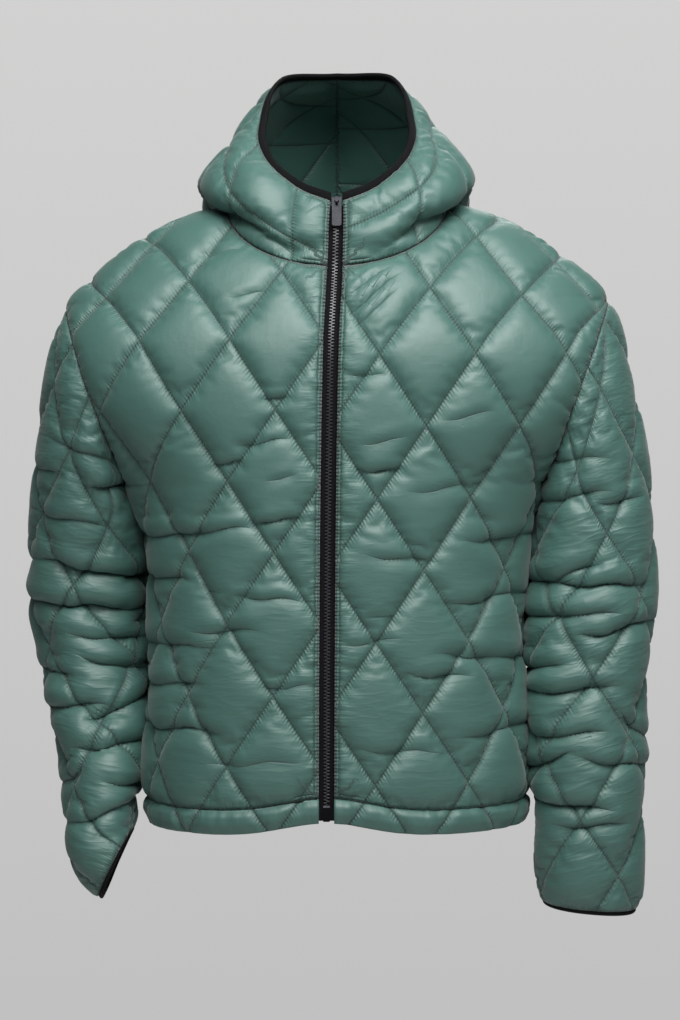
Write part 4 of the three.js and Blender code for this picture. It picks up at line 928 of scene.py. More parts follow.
def upright_creases(panel):
    """Share of upright creases: the chest and shoulders hang, the rest is crushed level."""
    on_body = panel.name in ("front_left", "front_right", "back")
    return UPRIGHT["share"] * smooth(panel.base[:, 2], *UPRIGHT["z"]) * on_body


def looseness(panel):
    """How loose the cloth lies: fully on the sleeves, and a little on the low body."""
    if panel.name.startswith("sleeve"):
        return np.ones(len(panel.flat))
    return LOOSE["share"] * (1 - smooth(panel.base[:, 2], *LOOSE["z"]))


def add_share(mesh, name, values):
    """An attribute that gives each vertex one number."""
    layer = mesh.attributes.new(name, "FLOAT", "POINT")
    layer.data.foreach_set("value", values.astype(np.float32))


def close_panel(panel):
    """Adds the inner cloth behind the outer one and joins their edges."""
    panel.outer = coordinates(panel.obj.data)
    below = panel.base - panel.normal * (WALL + panel.inner * panel.fullness)[:, None]
    bm = bmesh.new()
    bm.from_mesh(panel.obj.data)
    bm.verts.ensure_lookup_table()
    first = bm.verts[:]
    copy = bmesh.ops.duplicate(bm, geom=bm.verts[:] + bm.edges[:] + bm.faces[:])
    faces = [g for g in copy["geom"] if isinstance(g, bmesh.types.BMFace)]
    bmesh.ops.reverse_faces(bm, faces=faces)
    for v in first:
        copy["vert_map"][v].co = below[v.index] * MM
    source = {copy["vert_map"][v]: v.index for v in first}
    bm.verts.index_update()
    order = np.array([source.get(v, v.index) for v in bm.verts])
    bmesh.ops.bridge_loops(bm, edges=[e for e in bm.edges if e.is_boundary])
    bm.to_mesh(panel.obj.data)
    bm.free()
    mesh = panel.obj.data
    add_uv(mesh, "cloth", panel.flat[order] * MM)
    add_uv(mesh, "quilt", panel.lattice[order])
    add_uv(mesh, "seam", np.stack([panel.gap, panel.along], axis=-1)[order] * MM)
    add_uv(mesh, "crease", panel.crease[order])
    add_share(mesh, "zip_edge", beside_zip(panel)[order])
    add_share(mesh, "upright", upright_creases(panel)[order])
    add_share(mesh, "loose", looseness(panel)[order])
    mesh.shade_smooth()


def make_panels():
    body = {"press": arm_side_press}
    arm = {"press": body_side_press, "ease": EASE["sleeve"]}
    hood = {"ease": EASE["hood"], "inner": 4}
    return [
        Panel("front_left", FRONT, front_runs(LEFT_SLEEVE), **body),
        Panel("front_right", FRONT, front_runs(RIGHT_SLEEVE), side=-1, **body),
        Panel("back", BACK, back_runs(), **body),
        Panel("sleeve_left", LEFT_SLEEVE, lofted_runs(LEFT_SLEEVE), **arm),
        Panel("sleeve_right", RIGHT_SLEEVE, lofted_runs(RIGHT_SLEEVE), side=-1, **arm),
        Panel("hood_left", HOOD_CLOTH, lofted_runs(HOOD_CLOTH), **hood),
        Panel("hood_right", HOOD_CLOTH, lofted_runs(HOOD_CLOTH), side=-1, **hood),
    ]


PANELS = {}


# ---- stitches ----
STITCH = {"inset": 0.1, "sink": 0.4}  # shares of a stitch's length and of the thread
STITCH_CLEAR = 3  # least gap to a seam
SAME_LINE = 0.001  # in diamonds
TOPSTITCH = {"from_edge": 4.4, "pitch": 3.6, "end_gap": 6, "over": 4}


def sew(name, starts, ends, outs, thickness, rise):
    """Stitches of thread from each start to its end, in metres."""
    curve = bpy.data.curves.new(name, "CURVE")
    curve.dimensions = "3D"
    curve.bevel_depth = thickness / 2
    curve.bevel_resolution = 0
    curve.use_fill_caps = True
    span = ends - starts
    sunk = outs * thickness * STITCH["sink"]
    first = starts + span * STITCH["inset"] - sunk
    middle = starts + span * 0.5 + outs * rise
    last = starts + span * (1 - STITCH["inset"]) - sunk
    for places in np.stack([first, middle, last], axis=1):
        spline = curve.splines.new("POLY")
        spline.points.add(2)
        spline.points.foreach_set("co", np.hstack([places, np.ones((3, 1))]).ravel())
    holder = bpy.data.objects.new(name, curve)
    mesh = bpy.data.meshes.new_from_object(holder)
    bpy.data.objects.remove(holder)
    mesh.shade_smooth()
    return new_object(name, mesh)


def quilt_stitches(panel):
    """Each side of the cloth's grid that lies on a stitch line, as a pair of its ends."""
    a, b = panel.sides.T
    same = (panel.on_line[a] & panel.on_line[b]).any(axis=-1)
    step = np.abs(panel.lattice[a] - panel.lattice[b])
    along = np.where(panel.on_line[a] & panel.on_line[b], step, 1).min(axis=-1) < SAME_LINE
    clear = (panel.gap[a] > STITCH_CLEAR) & (panel.gap[b] > STITCH_CLEAR)
    return panel.sides[same & along & clear]


def edge_stitches(panel):
    """Starts, ends and outward directions of the stitches beside a panel's zip edge."""
    run = panel.runs[-1]
    arc = np.linalg.norm(np.diff(run, axis=0), axis=-1).sum()
    gap = TOPSTITCH["end_gap"]
    flat = at_length(run, np.arange(gap, arc - gap, TOPSTITCH["pitch"] / 2))
    ahead = unit(np.gradient(flat, axis=0))
    inwards = np.stack([-ahead[:, 1], ahead[:, 0]], axis=-1)
    base, normal = panel.worn(flat + inwards * TOPSTITCH["from_edge"])
    tree = BVHTree.FromObject(panel.obj, bpy.context.evaluated_depsgraph_get())
    above = (base + normal * TOPSTITCH["over"]) * MM
    place = np.array([tree.find_nearest(Vector(p))[0] for p in above])
    return place[:-1:2], place[1::2][:len(place[:-1:2])], normal[:-1:2]


# ---- bands along a line of frames ----
class Frames:
    """Points along a line, each with its directions out and up, evenly spaced."""

    def __init__(self, point, out, up, step, closed=False):
        arc = arc_of(point)
        count = max(int(round(arc[-1] / step)), 2)
        self.at = np.linspace(0, arc[-1], count + 1)
        self.closed = closed
        self.length = arc[-1]

        def spread(values):
            return np.stack([np.interp(self.at, arc, values[:, k]) for k in range(3)], axis=-1)

        self.point = spread(point)
        self.out = unit(spread(out))
        self.up = unit(spread(up))

    def place(self, i, out, up):
        """Places out and up from the frames numbered i, on the worn coat."""
        return settle(self.point[i] + self.out[i] * out[:, None] + self.up[i] * up[:, None])


PROFILE_POINTS = 400
PROFILE_ROUNDS = 60
DOUBLE_GAP = 0.00002


def round_profile(corners, count):
    """A closed smooth curve near a profile's corners, as evenly spaced places."""
    ring = np.array(corners + corners[:1], float)
    line = at_length(ring, np.linspace(0, length_of(ring), PROFILE_POINTS))
    for _ in range(PROFILE_ROUNDS):
        line[:-1] = (line[:-1] + np.roll(line[:-1], 1, axis=0)) / 2
        line[:-1] = (line[:-1] + np.roll(line[:-1], -1, axis=0)) / 2
        line[-1] = line[0]
    return at_length(line, np.linspace(0, length_of(line), count + 1))


def band(name, frames, profile, shape=None):
    """A closed band swept along frames.

    shape takes each vertex's frame, distance round the profile, out and up, and gives its out,
    its up and its place in the quilting.
    """
    rows, columns = len(frames.at) - 1, len(profile) - 1
    bm = bmesh.new()
    bmesh.ops.create_grid(bm, x_segments=rows, y_segments=columns, size=0.5)
    co = np.array([v.co[:2] for v in bm.verts]) + 0.5
    i, j = np.round(co * (rows, columns)).astype(int).T
    around = arc_of(profile)
    out, up = profile[j].T
    quilt = np.full((len(i), 2), 0.5)
    if shape:
        out, up, quilt = shape(i, around[j], out, up)
    cloth = np.stack([around[j], frames.at[i]], axis=-1) * MM
    bm.loops.layers.uv.new("cloth")
    bm.loops.layers.uv.new("quilt")
    maps = [bm.loops.layers.uv[label] for label in ("cloth", "quilt")]
    for v, places, p in zip(bm.verts, zip(cloth, quilt), frames.place(i, out, up) * MM):
        v.co = p
        for loop in v.link_loops:
            for layer, place in zip(maps, places):
                loop[layer].uv = place
    bmesh.ops.remove_doubles(bm, verts=bm.verts[:], dist=DOUBLE_GAP)
    if not frames.closed:
        bmesh.ops.holes_fill(bm, edges=[e for e in bm.edges if e.is_boundary], sides=0)
    bmesh.ops.recalc_face_normals(bm, faces=bm.faces[:])
    mesh = mesh_from(bm, name)
    mesh.shade_smooth()
    return new_object(name, mesh)


# ---- hem, bindings and zip ----
HEM_HEIGHT = HEM_SEAM_Z - HEM_BOTTOM_Z
HEM_DEPTH = 9
HEM_GAP = 0.15  # between the hem and the panels' edges
# profiles as (out, up) from the line that they follow
HEM_PROFILE = [
    (0, -HEM_GAP),
    (5.5, -HEM_GAP - HEM_HEIGHT * 0.25),
    (6.5, -HEM_GAP - HEM_HEIGHT * 0.6),
    (3, -HEM_HEIGHT - 1),
    (-2, -HEM_HEIGHT),
    (-WALL, -HEM_HEIGHT * 0.6),
    (-WALL, -HEM_GAP),
]
FAR_FROM_SEAM = 0.05  # in metres
HEM_PINCH = {"depth": 3.4, "reach": 4.5}
HEM_PUCKER = {"length": 9, "seed": 5, "stretch": 0.15, "height": 1.1, "reach": 14, "end": 60,
              "least": 0.25}
BINDING_WIDTH = 9.4
BINDING_PROFILE = [
    (0.4, 0.3),
    (1.1, BINDING_WIDTH / 2),
    (0.4, BINDING_WIDTH - 1),
    (-1.5, BINDING_WIDTH),
    (-3.4, BINDING_WIDTH - 1),
    (-4.1, BINDING_WIDTH / 2),
    (-3.4, 0.3),
]
BINDING_END_X = 5.9
EDGE_STEP = 0.03  # share of the cloth's height that gives an edge its direction
CUFF_PROFILE = [(-1, -0.3), (-0.8, -3), (-2.2, -5), (-3.8, -3), (-3.6, -0.3)]
SIDES = {"hem": 26, "binding": 16, "cuff": 12}
# the tape's sizes across and out from the zip's line, and its cuts at the foot and top, in
# millimetres
TAPE = {"inner": 0.2, "outer": 15, "middle": -4.7, "half": 0.4, "bottom_cut": 1, "top_cut": 13}
# the corded edge of each tape
TAPE_CORD = {"half": 0.8, "inner": -0.1, "outer": 1.1, "end": 1.6}
CHAIN = {"half_width": 3.1, "top": -3, "bottom": -6.4, "foot": 16.9, "under_slider": 3}
TOOTH = {"past_middle": 0.6, "height": 0.62, "tip": 0.72, "bevel": 0.35}
MIRROR = np.array([-1, 1, 1])


def hem_frames(step):
    """Frames round the hem's seam, from the wearer's left of the zip to the right of it."""
    halves = []
    for side in (-1, 1):
        line = hem_line(side)
        angle = np.arctan2(line[:, 0], np.abs(line[:, 1]))
        low = body_point(angle, line[:, 2] - HEM_HEIGHT, side)
        halves.append(np.stack([line, body_normal(line, side), unit(line - low)]))
    front, back = halves
    left = np.concatenate([front, back[:, ::-1][:, 1:]], axis=1)
    both = np.concatenate([left, (left * MIRROR)[:, ::-1][:, 1:]], axis=1)
    return Frames(*both, step)


def hood_edge_frames(step):
    """Frames round the hood's edge, from the wearer's right of the zip to the left of it."""
    u = np.linspace(1, 0, POINTS["hood_edge"])
    edge = np.ones(len(u))
    point = hood_shape(u, edge)
    up = unit(point - hood_shape(u, edge * (1 - EDGE_STEP)))
    out = HOOD_CLOTH.normal(u, edge)
    for values in (point, up, out):
        values[0, 0] = 0
    left = np.stack([point, unit(out), unit(up)])
    last = left[:, -1:].copy()
    last[0, 0, 0] = BINDING_END_X
    left = np.concatenate([left, last], axis=1)
    both = np.concatenate([(left * MIRROR)[:, ::-1][:, :-1], left], axis=1)
    return Frames(*both, step)


def cuff_frames(cloth, side, step):
    """Frames round a sleeve's lower edge."""
    u = np.linspace(0, 1, POINTS["round"])
    low = np.zeros(len(u))
    point = cloth.shape(u, low)
    up = unit(cloth.shape(u, low + EDGE_STEP) - point)
    out = cloth.normal(u, low)
    out[[0, -1]] = unit(out[0] + out[-1])
    turn = np.array([side, 1, 1])
    return Frames(point * turn, out * turn, up * turn, step, closed=True)


ZIP_KNOTS = {"z": (-520, -430, -340, -250, -180, -120, -80), "collar": (0, 0.35, 0.7, 1)}


def make_zip_line():
    """The zip's middle line from its foot to its top, before it leans."""
    z = np.array([HEM_BOTTOM_Z + HEM_LIFT["rise"], *ZIP_KNOTS["z"]])
    body = points(0, -section(z, -1)[1], z)
    collar = hood_shape(np.zeros(4), np.array(ZIP_KNOTS["collar"]))
    collar[:, 0] = 0
    top = collar[3] + unit(collar[3] - collar[2]) * BINDING_WIDTH
    knots = np.concatenate([body, collar, [top]])
    v = np.linspace(0, 1, POINTS["zip"])
    return through_points(np.repeat(knots[None], len(v), axis=0), v)


ZIP_LINE = make_zip_line()
ZIP_ARC = arc_of(ZIP_LINE)
ZIP_LENGTH = np.linalg.norm(np.diff(ZIP_LINE, axis=0), axis=-1).sum()


def zip_frames(low, high, step):
    """Frames up the zip between two distances from its foot."""
    up = unit(np.gradient(ZIP_LINE, axis=0) * (0, 1, 1))
    out = np.stack([0 * ZIP_ARC, -up[:, 2], up[:, 1]], axis=-1)
    kept = (ZIP_ARC >= low) & (ZIP_ARC <= high)
    return Frames(ZIP_LINE[kept], out[kept], up[kept], step)


def tape_profile():
    """A tape's closed profile as (out, across), with a cord along its inner edge."""
    middle, inner, thin, thick = TAPE["middle"], TAPE["inner"], TAPE["half"], TAPE_CORD["half"]
    front = [
        (thick, inner + TAPE_CORD["inner"]), (thick, inner + TAPE_CORD["outer"]),
        (thin, inner + TAPE_CORD["end"]), (thin, TAPE["outer"]),
    ]
    back = [(-out, across) for out, across in reversed(front)]
    ring = back[-1:] + front + back
    return np.array(ring) + (middle, 0)


def across_zip(frames):
    """The same frames with up turned across the zip, towards the wearer's left."""
    frames.up = np.zeros_like(frames.up) + (1, 0, 0)
    return frames


def make_tooth(pitch):
    """One moulded tooth, narrower towards its tape, with x across the zip and y out of it."""
    reach, past = CHAIN["half_width"], TOOTH["past_middle"]
    thickness = CHAIN["top"] - CHAIN["bottom"]
    bm = bmesh.new()
    bmesh.ops.create_cube(bm, size=1)
    bmesh.ops.scale(bm, vec=(reach + past, thickness, pitch * TOOTH["height"]), verts=bm.verts)
    middle = ((reach - past) / 2, (CHAIN["top"] + CHAIN["bottom"]) / 2, 0)
    bmesh.ops.translate(bm, vec=middle, verts=bm.verts)
    for v in bm.verts:
        if v.co.x > past:
            v.co.z *= TOOTH["tip"]
    bmesh.ops.bevel(
        bm, geom=bm.edges[:], offset=TOOTH["bevel"], offset_type="OFFSET", segments=1,
        profile=0.5, affect="EDGES", material=-1,
    )
    return mesh_from(bm, "tooth")


def hem_shape(frames):
    """Puckers at the hem's seam, and the quilting's lines pressed across it."""
    line = frames.point
    names = np.where(line[:, 1] > 0, 0, np.where(line[:, 0] > 0, 1, 2))
    panels = (("back", BACK), ("front_left", FRONT), ("front_right", FRONT))
    flats = np.zeros((len(line), 2))
    for index, (name, cloth) in enumerate(panels):
        chosen = names == index
        turned = line[chosen].copy()
        if name != "back":
            turned[:, 0] = np.abs(turned[:, 0])
        flats[chosen] = cloth.flat(turned)

    def shape(i, around, out, up):
        place = flats[i] + np.stack([0 * around, up], axis=-1)
        near = np.full(len(i), np.inf)
        quilt = np.full((len(i), 2), 0.5)
        for index, (name, _) in enumerate(panels):
            chosen = names[i] == index
            lattice = to_lattice(name, place[chosen])
            near[chosen] = np.abs(lattice - np.round(lattice)).min(axis=-1) * LINE_GAP
            quilt[chosen] = lattice
        full = np.clip((out + WALL) / HEM_DEPTH, 0, 1)
        pinch = HEM_PINCH["depth"] * np.exp(-((near / HEM_PINCH["reach"]) ** 2)) * full
        along = np.stack([frames.at[i], around * HEM_PUCKER["stretch"]], axis=-1)
        pucker = ripple(along, HEM_PUCKER["length"], HEM_PUCKER["seed"])
        fade = np.exp(-around.clip(0, HEM_PUCKER["end"]) / HEM_PUCKER["reach"])
        fade += HEM_PUCKER["least"]
        return out - pinch + HEM_PUCKER["height"] * pucker * fade * full, up, quilt

    return shape


# ---- materials: depths, widths and reaches in millimetres, painted shade, tone and roughness as shares ----
PLEAT = {"length": 34, "roughness": 0.55, "drift": 0.35, "uneven": 0.5, "least": 0.3}
# LINE's shade is the share of painted shade that darkens the colour along a stitch line's groove
LINE = {"width": 1.2, "depth": 1.1, "flat": 0.6, "shade": 0.6, "roughness": 0.25}
NEEDLE = {"pitch": 3.5, "reach": 2.4, "height": 0.3}
# FURROW's shade is the share of painted shade that darkens the colour in the topstitch's furrow
FURROW = {"width": 1.1, "depth": 1.4, "shade": 0.8}
FOLD_MARK = {"width": 1.3, "depth": 2.2}
# creases to a metre across and up with a seed of their own, and how deep they are
CREASES = {"level": (24, 95, 3), "upright": (120, 26, 0), "broad": 38, "broad_depth": 0.7,
           "sharp_depth": 1.1, "power": 0.8, "loose": 0.6, "least": 0.25}
NYLON = {"roughness": 0.53, "specular": 0.9, "sheen": 0.2, "sheen_roughness": 0.4,
         "patches": 14, "patch_shade": 0.05}


class Nodes:
    """Short calls that fill a node tree."""

    def __init__(self, tree):
        self.tree = tree

    def add(self, kind, settings=None, **inputs):
        node = self.tree.nodes.new("ShaderNode" + kind)
        for key, value in (settings or {}).items():
            setattr(node, key, value)
        for key, value in inputs.items():
            self.put(node.inputs[key.replace("_", " ")], value)
        return node

    def put(self, socket, value):
        if isinstance(value, bpy.types.NodeSocket):
            self.tree.links.new(value, socket)
        else:
            socket.default_value = value

    def math(self, operation, *values):
        node = self.add("Math", {"operation": operation})
        for socket, value in zip(node.inputs, values):
            self.put(socket, value)
        return node.outputs[0]

    def fall(self, distance, reach):
        """From 1 down to 0 as a distance grows past a reach."""
        return self.math("EXPONENT", self.math("DIVIDE", distance, -reach))

    def vector(self, *values):
        node = self.add("CombineXYZ")
        for socket, value in zip(node.inputs, values):
            self.put(socket, value)
        return node.outputs[0]

    def split(self, vector):
        return self.add("SeparateXYZ", Vector=vector).outputs

    def noise(self, vector, scale=1.0, detail=2.0, roughness=0.5):
        """Uneven values round 0."""
        node = self.add("TexNoise", Vector=vector, Scale=scale, Detail=detail, Roughness=roughness)
        return self.math("MULTIPLY_ADD", node.outputs[0], 2, -1)

    def uv(self, name):
        return self.add("UVMap", {"uv_map": name}).outputs[0]

    def share(self, name):
        return self.add("Attribute", {"attribute_name": name}).outputs["Fac"]

    def between(self, share, first, second):
        """One number where the share is 0, the other where it is 1."""
        node = self.add("Mix", {"data_type": "FLOAT"})
        self.put(node.inputs[0], share)
        self.put(node.inputs[2], first)
        self.put(node.inputs[3], second)
        return node.outputs[0]

    def mix(self, share, first, second):
        node = self.add("Mix", {"data_type": "RGBA"})
        self.put(node.inputs[0], share)
        self.put(node.inputs[6], first)
        self.put(node.inputs[7], second)
        return node.outputs[2]

    def range(self, value, low, high, to_low, to_high):
        node = self.add("MapRange", Value=value)
        for socket, end in zip(node.inputs[1:5], (low, high, to_low, to_high)):
            self.put(socket, end)
        return node.outputs[0]


def effect(name, inputs, outputs, make):
    """A shader node group with named inputs and outputs, built once."""
    tree = bpy.data.node_groups.new(name, "ShaderNodeTree")
    for label, kind, value in inputs:
        socket = tree.interface.new_socket(label, in_out="INPUT", socket_type="NodeSocket" + kind)
        if value is not None:
            socket.default_value = value
    for label, kind in outputs:
        tree.interface.new_socket(label, in_out="OUTPUT", socket_type="NodeSocket" + kind)
    given = tree.nodes.new("NodeGroupInput").outputs
    result = tree.nodes.new("NodeGroupOutput").inputs
    nodes = Nodes(tree)
    for label, socket in make(nodes, given).items():
        nodes.put(result[label], socket)
    return tree


def make_gathers(nodes, given):
    """Cloth drawn up along a line of stitches, in millimetres."""
    across, along = given["Across"], given["Along"]
    place = nodes.vector(
        nodes.math("DIVIDE", along, given["Pleat"]),
        nodes.math("DIVIDE", across, PLEAT["length"]),
        given["Seed"],
    )
    pleats = nodes.noise(place, 1, 2, PLEAT["roughness"])
    uneven = nodes.math("MULTIPLY_ADD", nodes.noise(place, PLEAT["drift"], 1), PLEAT["uneven"], 1)
    uneven = nodes.math("MAXIMUM", uneven, PLEAT["least"])
    reach = nodes.math("MULTIPLY", uneven, given["Reach"])
    fade = nodes.math("EXPONENT", nodes.math("DIVIDE", across, nodes.math("MULTIPLY", reach, -1)))
    line = nodes.fall(across, LINE["width"])
    needle = nodes.math("SINE", nodes.math("MULTIPLY", along, 2 * math.pi / NEEDLE["pitch"]))
    needle = nodes.math("MULTIPLY", needle, nodes.fall(across, NEEDLE["reach"]))
    needle = nodes.math("MULTIPLY", needle, NEEDLE["height"])
    held = nodes.math("SUBTRACT", fade, nodes.math("MULTIPLY", line, LINE["flat"]))
    height = nodes.math("MULTIPLY", nodes.math("MULTIPLY", pleats, held), given["Depth"])
    height = nodes.math("MULTIPLY_ADD", line, -LINE["depth"], height)
    return {"Height": nodes.math("ADD", height, needle), "Line": line}


def make_weave(nodes, given):
    """Fine crossing threads."""
    x, y, _ = nodes.split(given["Place"])
    turns = nodes.math("MULTIPLY", given["Threads"], 2 * math.pi)
    warp = nodes.math("SINE", nodes.math("MULTIPLY", x, turns))
    weft = nodes.math("SINE", nodes.math("MULTIPLY", y, turns))
    return {"Height": nodes.math("MULTIPLY", nodes.math("MULTIPLY", warp, weft), given["Depth"])}


def make_creases(nodes, given):
    """Soft creases in loose cloth: upright, level, or between."""
    x, y, _ = nodes.split(given["Place"])
    ways = []
    for wide, high, seed in (CREASES["level"], CREASES["upright"]):
        across, up = nodes.math("MULTIPLY", x, wide), nodes.math("MULTIPLY", y, high)
        ways.append(nodes.noise(nodes.vector(across, up, seed), 1, 2))
    broad = nodes.noise(nodes.vector(x, y, 0), CREASES["broad"], 1)
    fine = nodes.between(given["Upright"], *ways)
    sharp = nodes.math("POWER", nodes.math("ABSOLUTE", fine), CREASES["power"])
    sharp = nodes.math("MULTIPLY", sharp, -CREASES["sharp_depth"])
    height = nodes.math("MULTIPLY_ADD", broad, CREASES["broad_depth"], sharp)
    return {"Height": nodes.math("MULTIPLY", height, given["Depth"])}


def new_material(name):
    material = bpy.data.materials.new(name)
    material.use_nodes = True
    nodes = Nodes(material.node_tree)
    shader = material.node_tree.nodes["Principled BSDF"]
    return material, nodes, shader


def place_effect(nodes, tree, **inputs):
    group = nodes.add("Group", {"node_tree": tree})
    for key, value in inputs.items():
        nodes.put(group.inputs[key], value)
    return group.outputs


def colour_surface(nodes, shader, colour, tone, roughness):
    """The colour made lighter and darker by a tone round 1, and a roughness."""
    tint = nodes.add("VectorMath", {"operation": "SCALE"})
    nodes.put(tint.inputs[0], colour[:3])
    nodes.put(tint.inputs["Scale"], tone)
    nodes.put(shader.inputs["Base Color"], tint.outputs[0])
    nodes.put(shader.inputs["Roughness"], roughness)


def raise_surface(nodes, shader, height, strength=1.0, distance=MM):
    bump = nodes.add("Bump", Strength=strength, Distance=distance, Height=height)
    nodes.put(shader.inputs["Normal"], bump.outputs[0])


def make_nylon(name, colour, effects):
    """Satin cloth: gathered at its stitch lines and seams, creased, and finely woven, with painted
    shade darkening its colour along the stitch lines, seams, fold creases and the topstitch furrow.
    """
    material, nodes, shader = new_material(name)
    cloth = nodes.uv("cloth")
    s, t, _ = nodes.split(nodes.uv("quilt"))
    seam_gap, seam_along, _ = nodes.split(nodes.uv("seam"))
    folded, deep, _ = nodes.split(nodes.uv("crease"))
    across_seam = nodes.math("MULTIPLY", seam_gap, 1000)
    along_seam = nodes.math("MULTIPLY", seam_along, 1000)
    by_zip = nodes.share("zip_edge")
    heights = []
    # closeness to each groove, which paints shade into the colour
    lines = []
    for index, (crossing, running) in enumerate(((s, t), (t, s))):
        found = place_effect(
            nodes, effects["gathers"],
            Across=nodes.math("MULTIPLY", nodes.math("PINGPONG", crossing, 0.5), LINE_GAP),
            Along=nodes.math("MULTIPLY", running, DIAMOND_SIDE),
            Seed=nodes.math("ADD", nodes.math("ROUND", crossing), 7.3 * index),
            Pleat=3.6, Reach=2.8, Depth=1.1,
        )
        heights.append(found["Height"])
        lines.append(found["Line"])
    at_seam = place_effect(
        nodes, effects["gathers"], Across=across_seam, Along=along_seam,
        Seed=40.0, Pleat=4.2, Reach=5.0, Depth=1.6,
    )
    drawn = place_effect(
        nodes, effects["gathers"], Across=across_seam, Along=along_seam,
        Seed=60.0, Pleat=6.5, Reach=13.0, Depth=1.7,
    )
    from_topstitch = nodes.math("SUBTRACT", across_seam, TOPSTITCH["from_edge"])
    from_topstitch = nodes.math("ABSOLUTE", from_topstitch)
    furrow = nodes.math("MULTIPLY", nodes.fall(from_topstitch, FURROW["width"]), by_zip)
    folded = nodes.math("ABSOLUTE", nodes.math("MULTIPLY", folded, 1000))
    # a fold's crease mark: a groove in the bump, and painted shade in the colour
    crease = nodes.math("MULTIPLY", nodes.fall(folded, FOLD_MARK["width"]), deep)
    depth = nodes.math("MULTIPLY_ADD", nodes.share("loose"), CREASES["loose"], CREASES["least"])
    creases = place_effect(
        nodes, effects["creases"], Place=cloth, Upright=nodes.share("upright"), Depth=depth,
    )
    weave = place_effect(nodes, effects["weave"], Place=cloth, Threads=1100.0, Depth=0.012)
    heights += [
        at_seam["Height"],
        nodes.math("MULTIPLY", drawn["Height"], by_zip),
        nodes.math("MULTIPLY", crease, -FOLD_MARK["depth"]),
        nodes.math("MULTIPLY", furrow, -FURROW["depth"]),
        creases["Height"],
        weave["Height"],
    ]
    lines += [at_seam["Line"], crease, nodes.math("MULTIPLY", furrow, FURROW["shade"])]
    total = heights[0]
    for height in heights[1:]:
        total = nodes.math("ADD", total, height)
    # painted shade: the colour is darkened, and the cloth made rougher, where the nearest groove
    # lies
    nearest = lines[0]
    for line in lines[1:]:
        nearest = nodes.math("MAXIMUM", nearest, line)
    patches = nodes.noise(cloth, NYLON["patches"], 3)
    tone = nodes.math("MULTIPLY_ADD", patches, NYLON["patch_shade"], 1)
    # painted shade along the grooves, on top of the patches' random tone
    tone = nodes.math("MULTIPLY", tone, nodes.math("MULTIPLY_ADD", nearest, -LINE["shade"], 1))
    rough = nodes.math("MULTIPLY_ADD", patches, NYLON["patch_shade"], NYLON["roughness"])
    rough = nodes.math("MULTIPLY_ADD", nearest, LINE["roughness"], rough)
    colour_surface(nodes, shader, colour, tone, rough)
    shader.inputs["Specular IOR Level"].default_value = NYLON["specular"]
    shader.inputs["Sheen Weight"].default_value = NYLON["sheen"]
    shader.inputs["Sheen Roughness"].default_value = NYLON["sheen_roughness"]
    raise_surface(nodes, shader, total)
    return material


def make_woven(name, colour, effects, threads, roughness):
    """Black elastic and zip tape: ribs across a close weave, with painted shade in the weave's
    troughs and painted light on its ribs.
    """
    material, nodes, shader = new_material(name)
    cloth = nodes.uv("cloth")
    weave = place_effect(nodes, effects["weave"], Place=cloth, Threads=threads, Depth=0.25)
    fuzz = nodes.noise(cloth, 900, 2)
    # painted shade and light: the colour follows the weave's height, darker in its troughs and
    # lighter on its ribs
    tone = nodes.math("MULTIPLY_ADD", weave["Height"], 1.2, 1)
    rough = nodes.math("MULTIPLY_ADD", fuzz, 0.06, roughness)
    colour_surface(nodes, shader, colour, tone, rough)
    shader.inputs["Specular IOR Level"].default_value = 0.15
    raise_surface(nodes, shader, nodes.math("MULTIPLY_ADD", fuzz, 0.05, weave["Height"]))
    return material


def make_hard(name, colour, roughness, metallic, scratches):
    """Moulded teeth and plated metal, with small marks."""
    material, nodes, shader = new_material(name)
    place = nodes.add("TexCoord").outputs["Object"]
    marks = nodes.noise(place, 420, 4, 0.6)
    tone = nodes.math("MULTIPLY_ADD", nodes.noise(place, 90, 2), 0.15, 1)
    rough = nodes.math("MULTIPLY_ADD", marks, scratches, roughness)
    colour_surface(nodes, shader, colour, tone, rough)
    shader.inputs["Metallic"].default_value = metallic
    raise_surface(nodes, shader, marks, 0.3, 0.1 * MM)
    return material


def make_thread(name, colour):
    """Sewing thread with a slight twist."""
    material, nodes, shader = new_material(name)
    twist = nodes.noise(nodes.add("TexCoord").outputs["Object"], 2200, 1)
    tone = nodes.math("MULTIPLY_ADD", twist, 0.15, 1)
    rough = nodes.math("MULTIPLY_ADD", twist, 0.05, 0.5)
    colour_surface(nodes, shader, colour, tone, rough)
    shader.inputs["Sheen Weight"].default_value = 0.1
    return material


MATERIALS = {}
EFFECTS = {}


